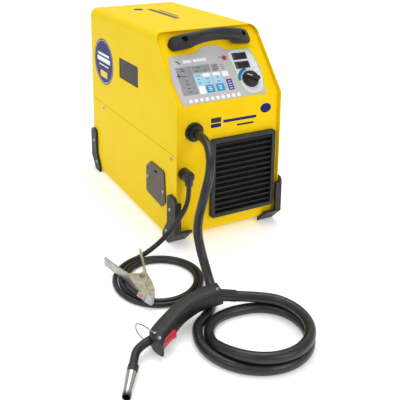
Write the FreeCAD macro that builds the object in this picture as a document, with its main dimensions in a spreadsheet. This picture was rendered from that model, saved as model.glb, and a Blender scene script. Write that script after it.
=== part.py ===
"""MIG welding machine: sheet-steel case, wire feeder, power parts, torch and earth clamp.

Millimetres. +Z up, -Y is the front, +X is the right-hand side seen from the front. The origin is the
centre of the base tray's flat underside; the machine stands on its four skids a little below it.
"""
import FreeCAD, Part
import math
import os
import re
import Sketcher
from FreeCAD import Placement, Rotation, Vector

doc = FreeCAD.newDocument("mig_welder")
dims = doc.addObject("Spreadsheet::Sheet", "dims")

# ------------------------------------------------------ driving dimensions
SIZES = (
    ("case_width", 240, "over the side panels"),
    ("case_depth", 462, "front lip to rear panel"),
    ("case_height", 408, "tray underside to top"),
    ("sheet_wall", 1.5, "sheet steel thickness"),
    ("front_setback", 8, "front panel behind the case's lip"),
    ("slope_start", 282, "height where the front leans back"),
    ("slope_run", 100, "how far back the slope reaches"),
    ("corner_cut", 24, "bevel at the lower front and rear"),
    ("edge_radius", 18, "rounding along the top edges"),
    ("seam_height", 181, "joint of cover and lower left panel"),
    ("seam_gap", 1, "gap at that joint"),
    ("hinge_height", 383, "hinge axis on the right side"),
    ("knuckle_radius", 2.5, "hinge knuckle"),
    ("pin_radius", 1.2, "hinge pin"),
    ("running_gap", 0.05, "shaft clearance on the radius"),
    ("body_gap", 0.4, "between pieces that move apart"),
    ("flange_height", 36, "tray's front and rear flanges"),
    ("skid_wall", 6, "corner skid thickness"),
    ("skid_height", 98, "top of a skid"),
    ("skid_reach", 50, "how far a skid runs along the side"),
    ("window_width", 105, "along the flank"),
    ("window_tall", 47, "window opening height"),
    ("window_back", -2, "window centre along Y"),
    ("window_level", 297, "window centre height"),
    ("pane_wall", 2.5, "window pane"),
    ("wall_x", -48, "centre partition's left face"),
    ("screw_radius", 2, "case screw shank"),
    ("head_radius", 3.8, "case screw head"),
    ("hatch_width", 90, "polarity hatch along Y"),
    ("hatch_tall", 80, "polarity hatch height"),
    ("hatch_back", -143, "polarity hatch centre along Y"),
    ("hatch_level", 94, "polarity hatch centre height"),
    ("hatch_wall", 3, "polarity hatch thickness"),
    ("grille_width", 150, "front grille"),
    ("grille_tall", 166, "front grille"),
    ("grille_middle", 34, "front grille centre along X"),
    ("grille_level", 120, "front grille centre height"),
    ("grille_depth", 9, "front grille"),
    ("slat_pitch", 11.5, "louvre spacing"),
    ("handle_length", 188, "carrying handle"),
    ("handle_rise", 46, "grip top above the slope"),
    ("handle_gap", 25, "finger room under the grip"),
    ("handle_thick", 30, "grip across the slope"),
    ("handle_up", 128, "grip centre up the slope"),
    ("overlay_wall", 0.8, "printed control label"),
    ("knob_radius", 18, "selector knob"),
    ("knob_tall", 17, "selector knob"),
    ("knob_x", 63, "selector knob"),
    ("knob_up", 36, "selector knob up the slope"),
    ("spindle_radius", 3, "selector spindle"),
    ("rocker_x", 57, "rocker switches"),
    ("rocker_up", 89, "upper rocker up the slope"),
    ("rocker_step", 20, "between the rockers"),
    ("rocker_width", 25, "rocker paddle"),
    ("rocker_tall", 9, "rocker paddle"),
    ("lamp_radius", 4, "warning lamp"),
    ("hose_radius", 8.5, "torch hose"),
    ("cable_radius", 4.75, "earth cable"),
    ("gland_x", -78, "torch gland"),
    ("gland_level", 225, "torch gland and wire line"),
    ("boot_x", -100, "earth cable boot"),
    ("boot_level", 143, "earth cable boot"),
    ("fan_radius", 60, "fan rotor"),
    ("spool_radius", 88, "wire spool flange"),
    ("spool_width", 50, "wire spool"),
    ("spool_back", 62, "spool axis along Y"),
    ("spool_level", 196, "spool axis height"),
    ("hub_radius", 24, "spool hub"),
    ("drive_radius", 15, "drive roller"),
    ("press_radius", 11, "pressure roller"),
    ("feeder_back", -128, "drive roller axis along Y"),
)
for row, (alias, value, note) in enumerate(SIZES, 1):
    dims.set("A%d" % row, note)
    dims.set("B%d" % row, str(value))
    dims.setAlias("B%d" % row, alias)
doc.recompute()
size = {alias: float(getattr(dims, alias)) for alias, value, note in SIZES}
ALIAS = re.compile(r"\b(%s)\b" % "|".join(alias for alias, value, note in SIZES))


def bound(formula):
    """A formula in size names, written the way the document's expressions want it."""
    return ALIAS.sub(r"dims.\1", str(formula))


def bind(thing, **formulas):
    for prop, formula in formulas.items():
        thing.setExpression(prop, bound(formula))
    return thing


def place(thing, x=0, y=0, z=0, axis=None, angle=0):
    """Seat a piece; axis and angle turn it about its own origin first."""
    if axis:
        thing.Placement = Placement(Vector(0, 0, 0), Rotation(Vector(*axis), 45))
        thing.setExpression("Placement.Rotation.Angle", bound(angle))
    for name, formula in (("x", x), ("y", y), ("z", z)):
        thing.setExpression("Placement.Base." + name, bound(formula))
    return thing


def box(name, length, width, height, x=0, y=0, z=0, axis=None, angle=0):
    thing = doc.addObject("Part::Box", name)
    bind(thing, Length=length, Width=width, Height=height)
    return place(thing, x, y, z, axis, angle)


def rod(name, radius, length, x=0, y=0, z=0, along="Z"):
    """A cylinder that starts at x, y, z and runs along +X, +Y, +Z or, as "-Y", the other way."""
    thing = doc.addObject("Part::Cylinder", name)
    bind(thing, Radius=radius, Height=length)
    turns = {"Z": None, "X": (0, 1, 0), "Y": (-1, 0, 0), "-Y": (1, 0, 0), "-X": (0, -1, 0)}
    return place(thing, x, y, z, turns[along], 90)


def fuse(name, *pieces):
    thing = doc.addObject("Part::MultiFuse", name)
    thing.Shapes = list(pieces)
    thing.Refine = True
    return thing


def cut(name, base, *tools):
    """Base with every tool taken out of it."""
    for number, tool in enumerate(tools, 1):
        thing = doc.addObject("Part::Cut", name if number == len(tools) else name + "_step")
        thing.Base = base
        thing.Tool = tool
        base = thing
    return base


def common(name, base, tool):
    thing = doc.addObject("Part::Common", name)
    thing.Base = base
    thing.Tool = tool
    return thing


def rounded(name, base, radius, wanted):
    """Round the edges of base that the test 'wanted' picks."""
    doc.recompute()
    thing = doc.addObject("Part::Fillet", name)
    thing.Base = base
    edges = [n for n, edge in enumerate(base.Shape.Edges, 1) if wanted(edge)]
    thing.Edges = [(n, radius, radius) for n in edges]
    return thing


def runs_along(edge, axis):
    if edge.Curve.TypeId != "Part::GeomLine":
        return False
    return abs(getattr(edge.Curve.Direction, axis)) > 0.999


PLANES = {"YZ": "YZ_Plane", "XZ": "XZ_Plane", "XY": "XY_Plane"}


def plate(name, plane, outline, start, thickness):
    """A padded outline: a list of (across, up) formulas, on a plane shifted by 'start' along its normal."""
    body = doc.addObject("PartDesign::Body", name)
    sketch = body.newObject("Sketcher::SketchObject", name + "_sketch")
    origin = [f for f in body.Origin.OriginFeatures if f.Role == PLANES[plane]][0]
    sketch.AttachmentSupport = [(origin, "")]
    sketch.MapMode = "FlatFace"
    sketch.setExpression("AttachmentOffset.Base.z", bound(start))
    count = len(outline)
    ring = [2 * math.pi * n / count for n in range(count)]
    dots = [Vector(100 * math.cos(a), 100 * math.sin(a), 0) for a in ring]
    for n in range(count):
        sketch.addGeometry(Part.LineSegment(dots[n], dots[(n + 1) % count]), False)
    rules = []
    for n in range(count):
        rules.append(Sketcher.Constraint("Coincident", n, 2, (n + 1) % count, 1))
    sketch.addConstraint(rules)
    for n, (across, up) in enumerate(outline):
        for kind, formula, now in (("DistanceX", across, dots[n].x), ("DistanceY", up, dots[n].y)):
            index = sketch.addConstraint(Sketcher.Constraint(kind, -1, 1, n, 1, now))
            sketch.setExpression("Constraints[%d]" % index, bound(formula))
    pad = body.newObject("PartDesign::Pad", name + "_pad")
    pad.Profile = sketch
    bind(pad, Length=thickness)
    return body


def solid(name, shape, placement=None):
    """A piece whose shape Part's own functions make from the sheet's values."""
    thing = doc.addObject("Part::Feature", name)
    thing.Shape = shape
    if placement:
        thing.Placement = placement
    return thing


nodes = {}


def node(thing, name=None):
    """Register a finished piece under the name that its file takes."""
    nodes[name or thing.Name] = thing
    thing.Label = name or thing.Name
    return thing


# ------------------------------------------------------ places used by several pieces
FRONT = "(-case_depth / 2)"
REAR = "(case_depth / 2)"
LEFT = "(-case_width / 2)"
RIGHT = "(case_width / 2)"
PANEL = "(-case_depth / 2 + front_setback)"
ROOT2 = "1.41421356"
SLOPE_ANGLE = "atan((case_height - slope_start) / slope_run)"
SLOPE_SIN = "sin(%s)" % SLOPE_ANGLE
SLOPE_COS = "cos(%s)" % SLOPE_ANGLE
BREAK = "(slope_start - front_setback * (1 - %s) / %s)" % (SLOPE_SIN, SLOPE_COS)
rise = size["case_height"] - size["slope_start"]
slope_angle = math.degrees(math.atan2(rise, size["slope_run"]))
slope_sin = math.sin(math.radians(slope_angle))
slope_cos = math.cos(math.radians(slope_angle))
break_level = size["slope_start"] - size["front_setback"] * (1 - slope_sin) / slope_cos
panel_face = -size["case_depth"] / 2 + size["front_setback"]
floor = -(math.sqrt(2) * size["skid_wall"] - 0.5)
FOOT = "(%s * skid_wall - 0.5)" % ROOT2


def on_slope(x="0", up="0", out="0"):
    """Where a point of the control face lies: up the slope, and out from it."""
    y = "%s + (%s) * %s - (%s) * %s" % (PANEL, up, SLOPE_COS, out, SLOPE_SIN)
    z = "%s + (%s) * %s + (%s) * %s" % (BREAK, up, SLOPE_SIN, out, SLOPE_COS)
    return {"x": x, "y": y, "z": z, "axis": (1, 0, 0), "angle": SLOPE_ANGLE}


# ------------------------------------------------------ case: tray and fixed panels
tray_floor = plate(
    "tray_floor", "YZ",
    (
        (PANEL + " + sheet_wall", "corner_cut - front_setback - sheet_wall"),
        (FRONT + " + corner_cut", "0"),
        (REAR + " - corner_cut", "0"),
        (REAR + " - sheet_wall", "corner_cut - sheet_wall"),
        (REAR + " - sheet_wall", "flange_height"),
        (REAR + " - 2 * sheet_wall", "flange_height"),
        (REAR + " - 2 * sheet_wall", "corner_cut - 0.5858 * sheet_wall"),
        (REAR + " - corner_cut - 0.4142 * sheet_wall", "sheet_wall"),
        (FRONT + " + corner_cut + 0.4142 * sheet_wall", "sheet_wall"),
        (PANEL + " + 2 * sheet_wall", "corner_cut - front_setback - 0.5858 * sheet_wall"),
        (PANEL + " + 2 * sheet_wall", "flange_height"),
        (PANEL + " + sheet_wall", "flange_height"),
    ),
    LEFT + " + sheet_wall", "case_width - 2 * sheet_wall",
)
SIDE_FLANGE = ("sheet_wall", "case_depth - 2 * corner_cut - 4", "flange_height - 14")
left_flange = box("left_flange", *SIDE_FLANGE, LEFT + " + sheet_wall", FRONT + " + corner_cut + 2",
    "0.5")
right_flange = box("right_flange", *SIDE_FLANGE, RIGHT + " - 2 * sheet_wall",
    FRONT + " + corner_cut + 2", "0.5")
node(fuse("base_tray", tray_floor, left_flange, right_flange))


def side_screws():
    """Centres (distance in from the front or rear face, height) of each skid's two screws."""
    return (("16", "skid_height - 30"), ("32", "15"))


def skid_holes(tag, x, length):
    """Screw clearance through a side panel for the front and rear skids."""
    holes = []
    for number, (inward, level) in enumerate(side_screws()):
        for end, y in (("front", FRONT + " + " + inward), ("rear", REAR + " - " + inward)):
            holes.append(rod("%s_%s_%d" % (tag, end, number), "screw_radius + running_gap", length, x,
                y, level, "X"))
    return holes


hinge_y = "%s + (hinge_height - slope_start) / tan(%s)" % (FRONT, SLOPE_ANGLE)
right_sheet = plate(
    "right_sheet", "YZ",
    (
        (FRONT + " + corner_cut", "0"), (REAR + " - corner_cut", "0"), (REAR, "corner_cut"),
        (REAR, "hinge_height - seam_gap / 2"), (hinge_y, "hinge_height - seam_gap / 2"),
        (FRONT, "slope_start"), (FRONT, "corner_cut"),
    ),
    RIGHT + " - sheet_wall", "sheet_wall",
)
KNUCKLES = 10
HINGE_START = "(%s + slope_run + 12)" % FRONT
KNUCKLE_STEP = "((case_depth - slope_run - 24) / %d)" % KNUCKLES
HINGE_X = "(%s + knuckle_radius)" % RIGHT


def knuckles(tag, first):
    """Every other knuckle along the hinge line, starting with the first or the second."""
    return [
        rod("%s_%d" % (tag, n), "knuckle_radius", "%s - body_gap" % KNUCKLE_STEP, HINGE_X,
            "%s + %d * %s" % (HINGE_START, n, KNUCKLE_STEP), "hinge_height", "Y")
        for n in range(first, KNUCKLES, 2)
    ]


HINGE_LENGTH = "(%d * %s - body_gap)" % (KNUCKLES, KNUCKLE_STEP)
fixed_leaf = box("fixed_leaf", "sheet_wall", HINGE_LENGTH, "11", RIGHT, HINGE_START,
    "hinge_height - 12")
fixed_slots = [
    box("fixed_slot_%d" % n, "2 * knuckle_radius + 1", "%s + body_gap" % KNUCKLE_STEP, "6", RIGHT,
        "%s + %d * %s - body_gap" % (HINGE_START, n, KNUCKLE_STEP),
            "hinge_height - knuckle_radius - body_gap")
    for n in range(1, KNUCKLES, 2)
]
leaf_combed = cut("fixed_leaf_combed", fixed_leaf, *fixed_slots)
pin_bore = rod("pin_bore", "pin_radius + running_gap", "case_depth", HINGE_X, FRONT, "hinge_height",
    "Y")
right_blank = fuse("right_blank", right_sheet, leaf_combed, *knuckles("fixed_knuckle", 0))
node(cut("right_panel", right_blank, pin_bore, *skid_holes("right_hole", RIGHT + " - 2 * sheet_wall",
    "4 * sheet_wall")))
node(rod("cover_hinge_pin", "pin_radius", HINGE_LENGTH, HINGE_X, HINGE_START, "hinge_height", "Y"))

left_sheet = plate(
    "left_sheet", "YZ",
    (
        (FRONT + " + corner_cut", "0"), (REAR + " - corner_cut", "0"), (REAR, "corner_cut"),
        (REAR, "seam_height - seam_gap / 2"), (FRONT, "seam_height - seam_gap / 2"),
        (FRONT, "corner_cut"),
    ),
    LEFT, "sheet_wall",
)
SILL = ("case_depth - front_setback - 8 * sheet_wall", FRONT + " + front_setback + 4 * sheet_wall")
sill_low = box("sill_low", "sheet_wall + body_gap", SILL[0], "12", LEFT + " + sheet_wall", SILL[1],
    "seam_height - 14")
sill_high = box("sill_high", "sheet_wall", SILL[0], "22", LEFT + " + sheet_wall + body_gap", SILL[1],
    "seam_height - 10")
hatch_hole = box("hatch_hole", "3 * sheet_wall", "hatch_width - 34", "hatch_tall - 24",
    LEFT + " - sheet_wall",
                 "hatch_back - hatch_width / 2 + 17", "hatch_level - hatch_tall / 2 + 12")
HATCH_SCREWS = (("hatch_back + hatch_width / 2 - 9", "hatch_level + 2"),
    ("hatch_back - hatch_width / 2 + 9", "hatch_level - 4"))
SEAM_SCREWS = ((REAR + " - 77", "seam_height - 10"), (FRONT + " + 21", "seam_height - 9"))
left_fixings = [
    rod("left_fixing_%d" % n, "screw_radius + running_gap", "8 * sheet_wall",
        LEFT + " - 4 * sheet_wall", y, z, "X")
    for n, (y, z) in enumerate(HATCH_SCREWS + SEAM_SCREWS)
]
left_blank = fuse("left_blank", left_sheet, sill_low, sill_high)
node(cut("left_lower_panel", left_blank, hatch_hole, *left_fixings,
         *skid_holes("left_hole", LEFT + " - sheet_wall", "4 * sheet_wall")))

# ------------------------------------------------------ inner envelope: what fits under the cover
envelope_block = box("envelope_block", "case_width - 2 * sheet_wall - 2 * body_gap", "case_depth",
    "case_height - sheet_wall - body_gap",
                     LEFT + " + sheet_wall + body_gap", FRONT)
envelope = rounded("envelope", envelope_block, size["edge_radius"],
                   lambda e: runs_along(e, "y") and e.CenterOfMass.z > 1)

# ------------------------------------------------------ front panel, one folded sheet
TOP_RUN = "(%s + (case_height + 20 - %s) / tan(%s))" % (PANEL, BREAK, SLOPE_ANGLE)
front_sheet = plate(
    "front_sheet", "YZ",
    (
        (PANEL, "corner_cut - front_setback"), (PANEL, BREAK), (TOP_RUN, "case_height + 20"),
        (TOP_RUN + " + sheet_wall / " + SLOPE_SIN, "case_height + 20"),
        (PANEL + " + sheet_wall", BREAK + " - sheet_wall * (1 - %s) / %s" % (SLOPE_SIN, SLOPE_COS)),
        (PANEL + " + sheet_wall", "corner_cut - front_setback"),
    ),
    LEFT, "case_width",
)
front_blank = common("front_blank", front_sheet, envelope)
grille_hole = box("grille_hole", "grille_width - 12", "6 * sheet_wall", "grille_tall - 12",
    "grille_middle - grille_width / 2 + 6",
                  PANEL + " - 3 * sheet_wall", "grille_level - grille_tall / 2 + 6")
GLAND_NECK = "(hose_radius + 4.5)"
gland_hole = rod("gland_hole", GLAND_NECK + " + running_gap", "20", "gland_x", PANEL + " - 10",
    "gland_level", "Y")
BOOT_NECK = "7"
boot_hole = rod("boot_hole", BOOT_NECK + " + running_gap", "20", "boot_x", PANEL + " - 10",
    "boot_level", "Y")


def slope_rod(name, radius, length, x, up, out):
    thing = doc.addObject("Part::Cylinder", name)
    bind(thing, Radius=radius, Height=length)
    return place(thing, **on_slope(x, up, out))


def slope_box(name, length, width, height, x, up, out):
    """A box centred on x and 'up', rising from 'out' along the slope's normal."""
    thing = doc.addObject("Part::Box", name)
    bind(thing, Length=length, Width=width, Height=height)
    return place(thing, **on_slope("%s - (%s) / 2" % (x, length), "%s - (%s) / 2" % (up, width), out))


knob_hole = slope_rod("knob_hole", "5", "20", "knob_x", "knob_up", "-10")
rocker_holes = [
    slope_box("rocker_hole_%d" % n, "rocker_width + 5", "rocker_tall + 4", "20", "rocker_x",
        "rocker_up - %d * rocker_step" % n, "-10")
    for n in range(2)
]
LAMP_X = "(rocker_x - 36)"
lamp_hole = slope_rod("lamp_hole", "lamp_radius + running_gap", "20", LAMP_X, "rocker_up", "-10")
HANDLE_SCREW_X = "(handle_length / 2 - 26)"
handle_holes = [
    slope_rod("handle_hole_%d" % n, "3.2", "20", "%d * %s" % (side, HANDLE_SCREW_X), "handle_up", "-10")
    for n, side in enumerate((-1, 1))
]
node(cut("front_panel", front_blank, grille_hole, gland_hole, boot_hole, knob_hole, *rocker_holes,
    lamp_hole, *handle_holes))

# ------------------------------------------------------ rear panel with vent slots
rear_block = box("rear_block", "case_width", "sheet_wall", "case_height - corner_cut", LEFT,
    REAR + " - sheet_wall", "corner_cut")
rear_blank = common("rear_blank", rear_block, envelope)
SLOTS = 9
rear_slots = [
    box("rear_slot_%d" % n, "104", "4 * sheet_wall", "6", "wall_x + 30", REAR + " - 2 * sheet_wall",
        "hinge_height - 180 + %d * 14" % n)
    for n in range(SLOTS)
]
MAINS_X = "70"
MAINS_LEVEL = "64"
GAS_X = "-84"
GAS_LEVEL = "80"
mains_hole = rod("mains_hole", "8 + running_gap", "20", MAINS_X, REAR + " - 10", MAINS_LEVEL, "Y")
gas_hole = rod("gas_hole", "5 + running_gap", "20", GAS_X, REAR + " - 10", GAS_LEVEL, "Y")
node(cut("rear_panel", rear_blank, *rear_slots, mains_hole, gas_hole))

# ------------------------------------------------------ access cover, hinged along the right side
cover_outer_block = box("cover_outer_block", "case_width", "case_depth",
    "case_height - seam_height - seam_gap / 2",
                        LEFT, FRONT, "seam_height + seam_gap / 2")
cover_outer = rounded("cover_outer", cover_outer_block, size["edge_radius"],
                      lambda e: runs_along(e, "y") and e.CenterOfMass.z > size["case_height"] - 1)
cover_inner_block = box("cover_inner_block", "case_width - 2 * sheet_wall", "case_depth + 20",
    "case_height - seam_height",
                        LEFT + " + sheet_wall", FRONT + " - 10", "seam_height - sheet_wall")
cover_inner = rounded("cover_inner", cover_inner_block, size["edge_radius"] - size["sheet_wall"],
                      lambda e: runs_along(e, "y") and e.CenterOfMass.z > size["seam_height"] + 1)
right_flank_away = box("right_flank_away", "40", "case_depth + 20", "hinge_height + seam_gap / 2",
    RIGHT + " - 20", FRONT + " - 10")
slope_away = doc.addObject("Part::Box", "slope_away")
bind(slope_away, Length="case_width + 40", Width="case_height", Height="case_height")
place(slope_away, LEFT + " - 20", FRONT, "slope_start", (1, 0, 0), SLOPE_ANGLE)
window_block = box("window_block", "4 * sheet_wall", "window_width", "window_tall",
    LEFT + " - sheet_wall",
                   "window_back - window_width / 2", "window_level - window_tall / 2")
window_hole = rounded("window_hole", window_block, 5, lambda e: runs_along(e, "x"))
cover_shell = cut("cover_shell", cover_outer, cover_inner, right_flank_away, slope_away, window_hole)
moving_leaf = box("moving_leaf", "sheet_wall", HINGE_LENGTH, "11", RIGHT, HINGE_START,
    "hinge_height + 1")
moving_slots = [
    box("moving_slot_%d" % n, "2 * knuckle_radius + 1", "%s + body_gap" % KNUCKLE_STEP, "6", RIGHT,
        "%s + %d * %s - body_gap" % (HINGE_START, n, KNUCKLE_STEP),
            "hinge_height + knuckle_radius + body_gap - 6")
    for n in range(0, KNUCKLES, 2)
]
moving_combed = cut("moving_leaf_combed", moving_leaf, *moving_slots)
cover_blank = fuse("cover_blank", cover_shell, moving_combed, *knuckles("moving_knuckle", 1))
cover_bore = rod("cover_bore", "pin_radius + running_gap", "case_depth", HINGE_X, FRONT, "hinge_height",
    "Y")
node(cut("access_cover", cover_blank, cover_bore))
pane_block = box("pane_block", "pane_wall", "window_width + 16", "window_tall + 16",
    LEFT + " + sheet_wall",
                 "window_back - window_width / 2 - 8", "window_level - window_tall / 2 - 8")
node(rounded("window_pane", pane_block, 8, lambda e: runs_along(e, "x")))

# ------------------------------------------------------ corner skids
OUTER_BEVEL = "(corner_cut - 0.41421 * skid_wall)"
FOOT_END = "(corner_cut - 0.5)"
flange_plate = plate(
    "skid_flange", "YZ",
    (
        (FRONT + " - skid_wall", OUTER_BEVEL), (FRONT + " + " + FOOT_END, "-" + FOOT),
        (FRONT + " + skid_reach", "-" + FOOT), (FRONT + " + skid_reach", "4"),
        (FRONT + " + skid_reach / 2 + 4", "36"), (FRONT + " + skid_reach / 2 + 4", "skid_height"),
        (FRONT + " - skid_wall", "skid_height"),
    ),
    LEFT + " - skid_wall", "skid_wall",
)
flange_round = rounded("skid_flange_round", flange_plate, 11,
                       lambda e: runs_along(e, "x") and e.CenterOfMass.z > size["skid_height"] - 1)
bevel_pad = plate(
    "skid_bevel_pad", "YZ",
    (
        (FRONT + " - skid_wall", OUTER_BEVEL), (FRONT + " + " + FOOT_END, "-" + FOOT),
        (FRONT + " + " + FOOT_END, "0.5"), (FRONT, "corner_cut"),
        (FRONT + " - skid_wall", "corner_cut"),
    ),
    LEFT + " - skid_wall", "skid_wall + 33",
)
front_wrap = box("skid_front_wrap", "skid_wall + 8", "skid_wall", "skid_height - 11 - corner_cut",
    LEFT + " - skid_wall",
                 FRONT + " - skid_wall", "corner_cut")
skid_blank = fuse("skid_blank", flange_round, bevel_pad, front_wrap)
skid_bores = [
    rod("skid_bore_%d" % n, "screw_radius + running_gap", "3 * skid_wall", LEFT + " - 2 * skid_wall",
        FRONT + " + " + inward, level, "X")
    for n, (inward, level) in enumerate(side_screws())
]
front_left = node(cut("front_left_skid", skid_blank, *skid_bores))


def mirrored(name, source, normal):
    thing = doc.addObject("Part::Mirroring", name)
    thing.Source = source
    thing.Normal = Vector(*normal)
    return thing


node(mirrored("front_right_skid", front_left, (1, 0, 0)))
rear_left = node(mirrored("rear_left_skid", front_left, (0, 1, 0)))
node(mirrored("rear_right_skid", rear_left, (1, 0, 0)))


def screw(tag, x, y, z, along, shank):
    """A pan-head screw whose head sits at x, y, z and whose shank runs 'along'."""
    back = {"X": "-X", "-X": "X"}[along]
    head = rod(tag + "_head", "head_radius", "2.4", x, y, z, back)
    stem = rod(tag + "_stem", "screw_radius", shank, x, y, z, along)
    return [head, stem]


screws = []
for side, x, along in (("left", LEFT + " - skid_wall", "X"), ("right", RIGHT + " + skid_wall", "-X")):
    for number, (inward, level) in enumerate(side_screws()):
        for end, y in (("front", FRONT + " + " + inward), ("rear", REAR + " - " + inward)):
            screws += screw("screw_%s_%s_%d" % (side, end, number), x, y, level, along,
                "skid_wall + sheet_wall")
for number, (y, z) in enumerate(SEAM_SCREWS):
    screws += screw("seam_screw_%d" % number, LEFT, y, z, "X", "2.5 * sheet_wall + body_gap")
for number, (y, z) in enumerate(HATCH_SCREWS):
    screws += screw("hatch_screw_%d" % number, LEFT + " - hatch_wall", y, z, "X",
        "hatch_wall + 2 * sheet_wall")

# ------------------------------------------------------ polarity hatch on the lower left panel
HATCH_LOW = "(hatch_level - hatch_tall / 2)"
HATCH_TOP = "(hatch_level + hatch_tall / 2)"
HATCH_NEAR = "(hatch_back - hatch_width / 2)"
HATCH_FAR = "(hatch_back + hatch_width / 2)"
hatch_sheet = plate(
    "hatch_sheet", "YZ",
    (
        (HATCH_NEAR + " + 16", HATCH_LOW), (HATCH_FAR, HATCH_LOW + " + 6"),
            (HATCH_FAR, HATCH_TOP + " - 18"),
        (HATCH_FAR + " - 22", HATCH_TOP), (HATCH_NEAR + " + 6", HATCH_TOP),
        (HATCH_NEAR, HATCH_LOW + " + 16"),
    ),
    LEFT + " - hatch_wall", "hatch_wall",
)
hatch_round = rounded("hatch_round", hatch_sheet, 7, lambda e: runs_along(e, "x"))
finger_slot = box("finger_slot", "3 * hatch_wall", "12", "5", LEFT + " - 2 * hatch_wall",
    "hatch_back - 8", HATCH_TOP + " - 16")
hatch_bores = [
    rod("hatch_bore_%d" % n, "screw_radius + running_gap", "3 * hatch_wall", LEFT + " - 2 * hatch_wall",
        y, z, "X")
    for n, (y, z) in enumerate(HATCH_SCREWS)
]
node(cut("polarity_hatch", hatch_round, finger_slot, *hatch_bores))

# ------------------------------------------------------ carrying handle across the slope
def slope_bar(name, radius, length, x, up, out):
    """A cylinder that runs up the slope, starting at 'up'."""
    thing = doc.addObject("Part::Cylinder", name)
    bind(thing, Radius=radius, Height=length)
    spot = on_slope(x, up, out)
    spot["angle"] = SLOPE_ANGLE + " - 90 deg"
    return place(thing, **spot)


END_RISE = "10"
BOW = "((handle_length / 2) ^ 2 + (handle_rise - %s) ^ 2) / (2 * (handle_rise - %s))" % (END_RISE,
    END_RISE)
FOOT_INNER = "(handle_length / 2 - 44)"
ARCH = "((%s ^ 2 + handle_gap ^ 2) / (2 * handle_gap))" % FOOT_INNER
grip_block = slope_box("grip_block", "handle_length", "handle_thick", "handle_rise", "0", "handle_up",
    "0")
grip_bow = slope_bar("grip_bow", BOW, "handle_thick + 20", "0", "handle_up - handle_thick / 2 - 10",
    "handle_rise - " + BOW)
grip_arch = slope_bar("grip_arch", ARCH, "handle_thick + 20", "0", "handle_up - handle_thick / 2 - 10",
    "handle_gap - " + ARCH)
grip_blank = cut("grip_blank", common("grip_bowed", grip_block, grip_bow), grip_arch)
grip_soft = rounded("grip_soft", grip_blank, 6,
                    lambda e: e.Curve.TypeId == "Part::GeomCircle" and e.Curve.Radius > 40 and e.Length > 60)
HEAD_SEAT = "14"
grip_bores = []
for n, side in enumerate((-1, 1)):
    spot = "%d * %s" % (side, HANDLE_SCREW_X)
    grip_bores.append(slope_rod("grip_bore_%d" % n, "3.2", "30", spot, "handle_up", "-5"))
    grip_bores.append(slope_rod("grip_recess_%d" % n, "6", "30", spot, "handle_up", HEAD_SEAT))
node(cut("carry_handle", grip_soft, *grip_bores))
for n, side in enumerate((-1, 1)):
    spot = "%d * %s" % (side, HANDLE_SCREW_X)
    screws.append(slope_rod("grip_screw_head_%d" % n, "5.2", "4", spot, "handle_up", HEAD_SEAT))
    screws.append(slope_rod("grip_screw_stem_%d" % n, "3.1", HEAD_SEAT + " + 8", spot, "handle_up",
        "-8"))
    screws.append(slope_rod("grip_screw_nut_%d" % n, "5.5", "4", spot, "handle_up", "-sheet_wall - 4"))
node(fuse("case_screws", *screws))

# ------------------------------------------------------ control face: label, knob, rockers, lamp
label_sheet = plate(
    "label_sheet", "XY",
    (
        ("-102", "1"), ("89", "2"), ("98", "56"), ("87", "104"), ("31", "107"), ("12", "120"),
        ("-22", "119"), ("-42", "106"), ("-101", "104"), ("-109", "56"),
    ),
    "0", "overlay_wall",
)
place(label_sheet, **on_slope())
node(cut("control_overlay", label_sheet, knob_hole, *rocker_holes, lamp_hole))

KNOB_BASE = "overlay_wall + body_gap"
knob_skirt = slope_rod("knob_skirt", "knob_radius", "knob_tall * 0.3", "knob_x", "knob_up", KNOB_BASE)
knob_top = doc.addObject("Part::Cone", "knob_top")
bind(knob_top, Radius1="knob_radius - 2", Radius2="knob_radius - 4", Height="knob_tall * 0.7")
place(knob_top, **on_slope("knob_x", "knob_up", KNOB_BASE + " + knob_tall * 0.3"))
knob_groove = slope_box("knob_groove", "2", "knob_radius", "3", "knob_x", "knob_up + knob_radius / 2",
    KNOB_BASE + " + knob_tall - 1")
knob_bore = slope_rod("knob_bore", "spindle_radius + running_gap", "knob_tall - 4", "knob_x", "knob_up",
    KNOB_BASE)
node(cut("selector_knob", fuse("knob_blank", knob_skirt, knob_top), knob_groove, knob_bore))

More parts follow.
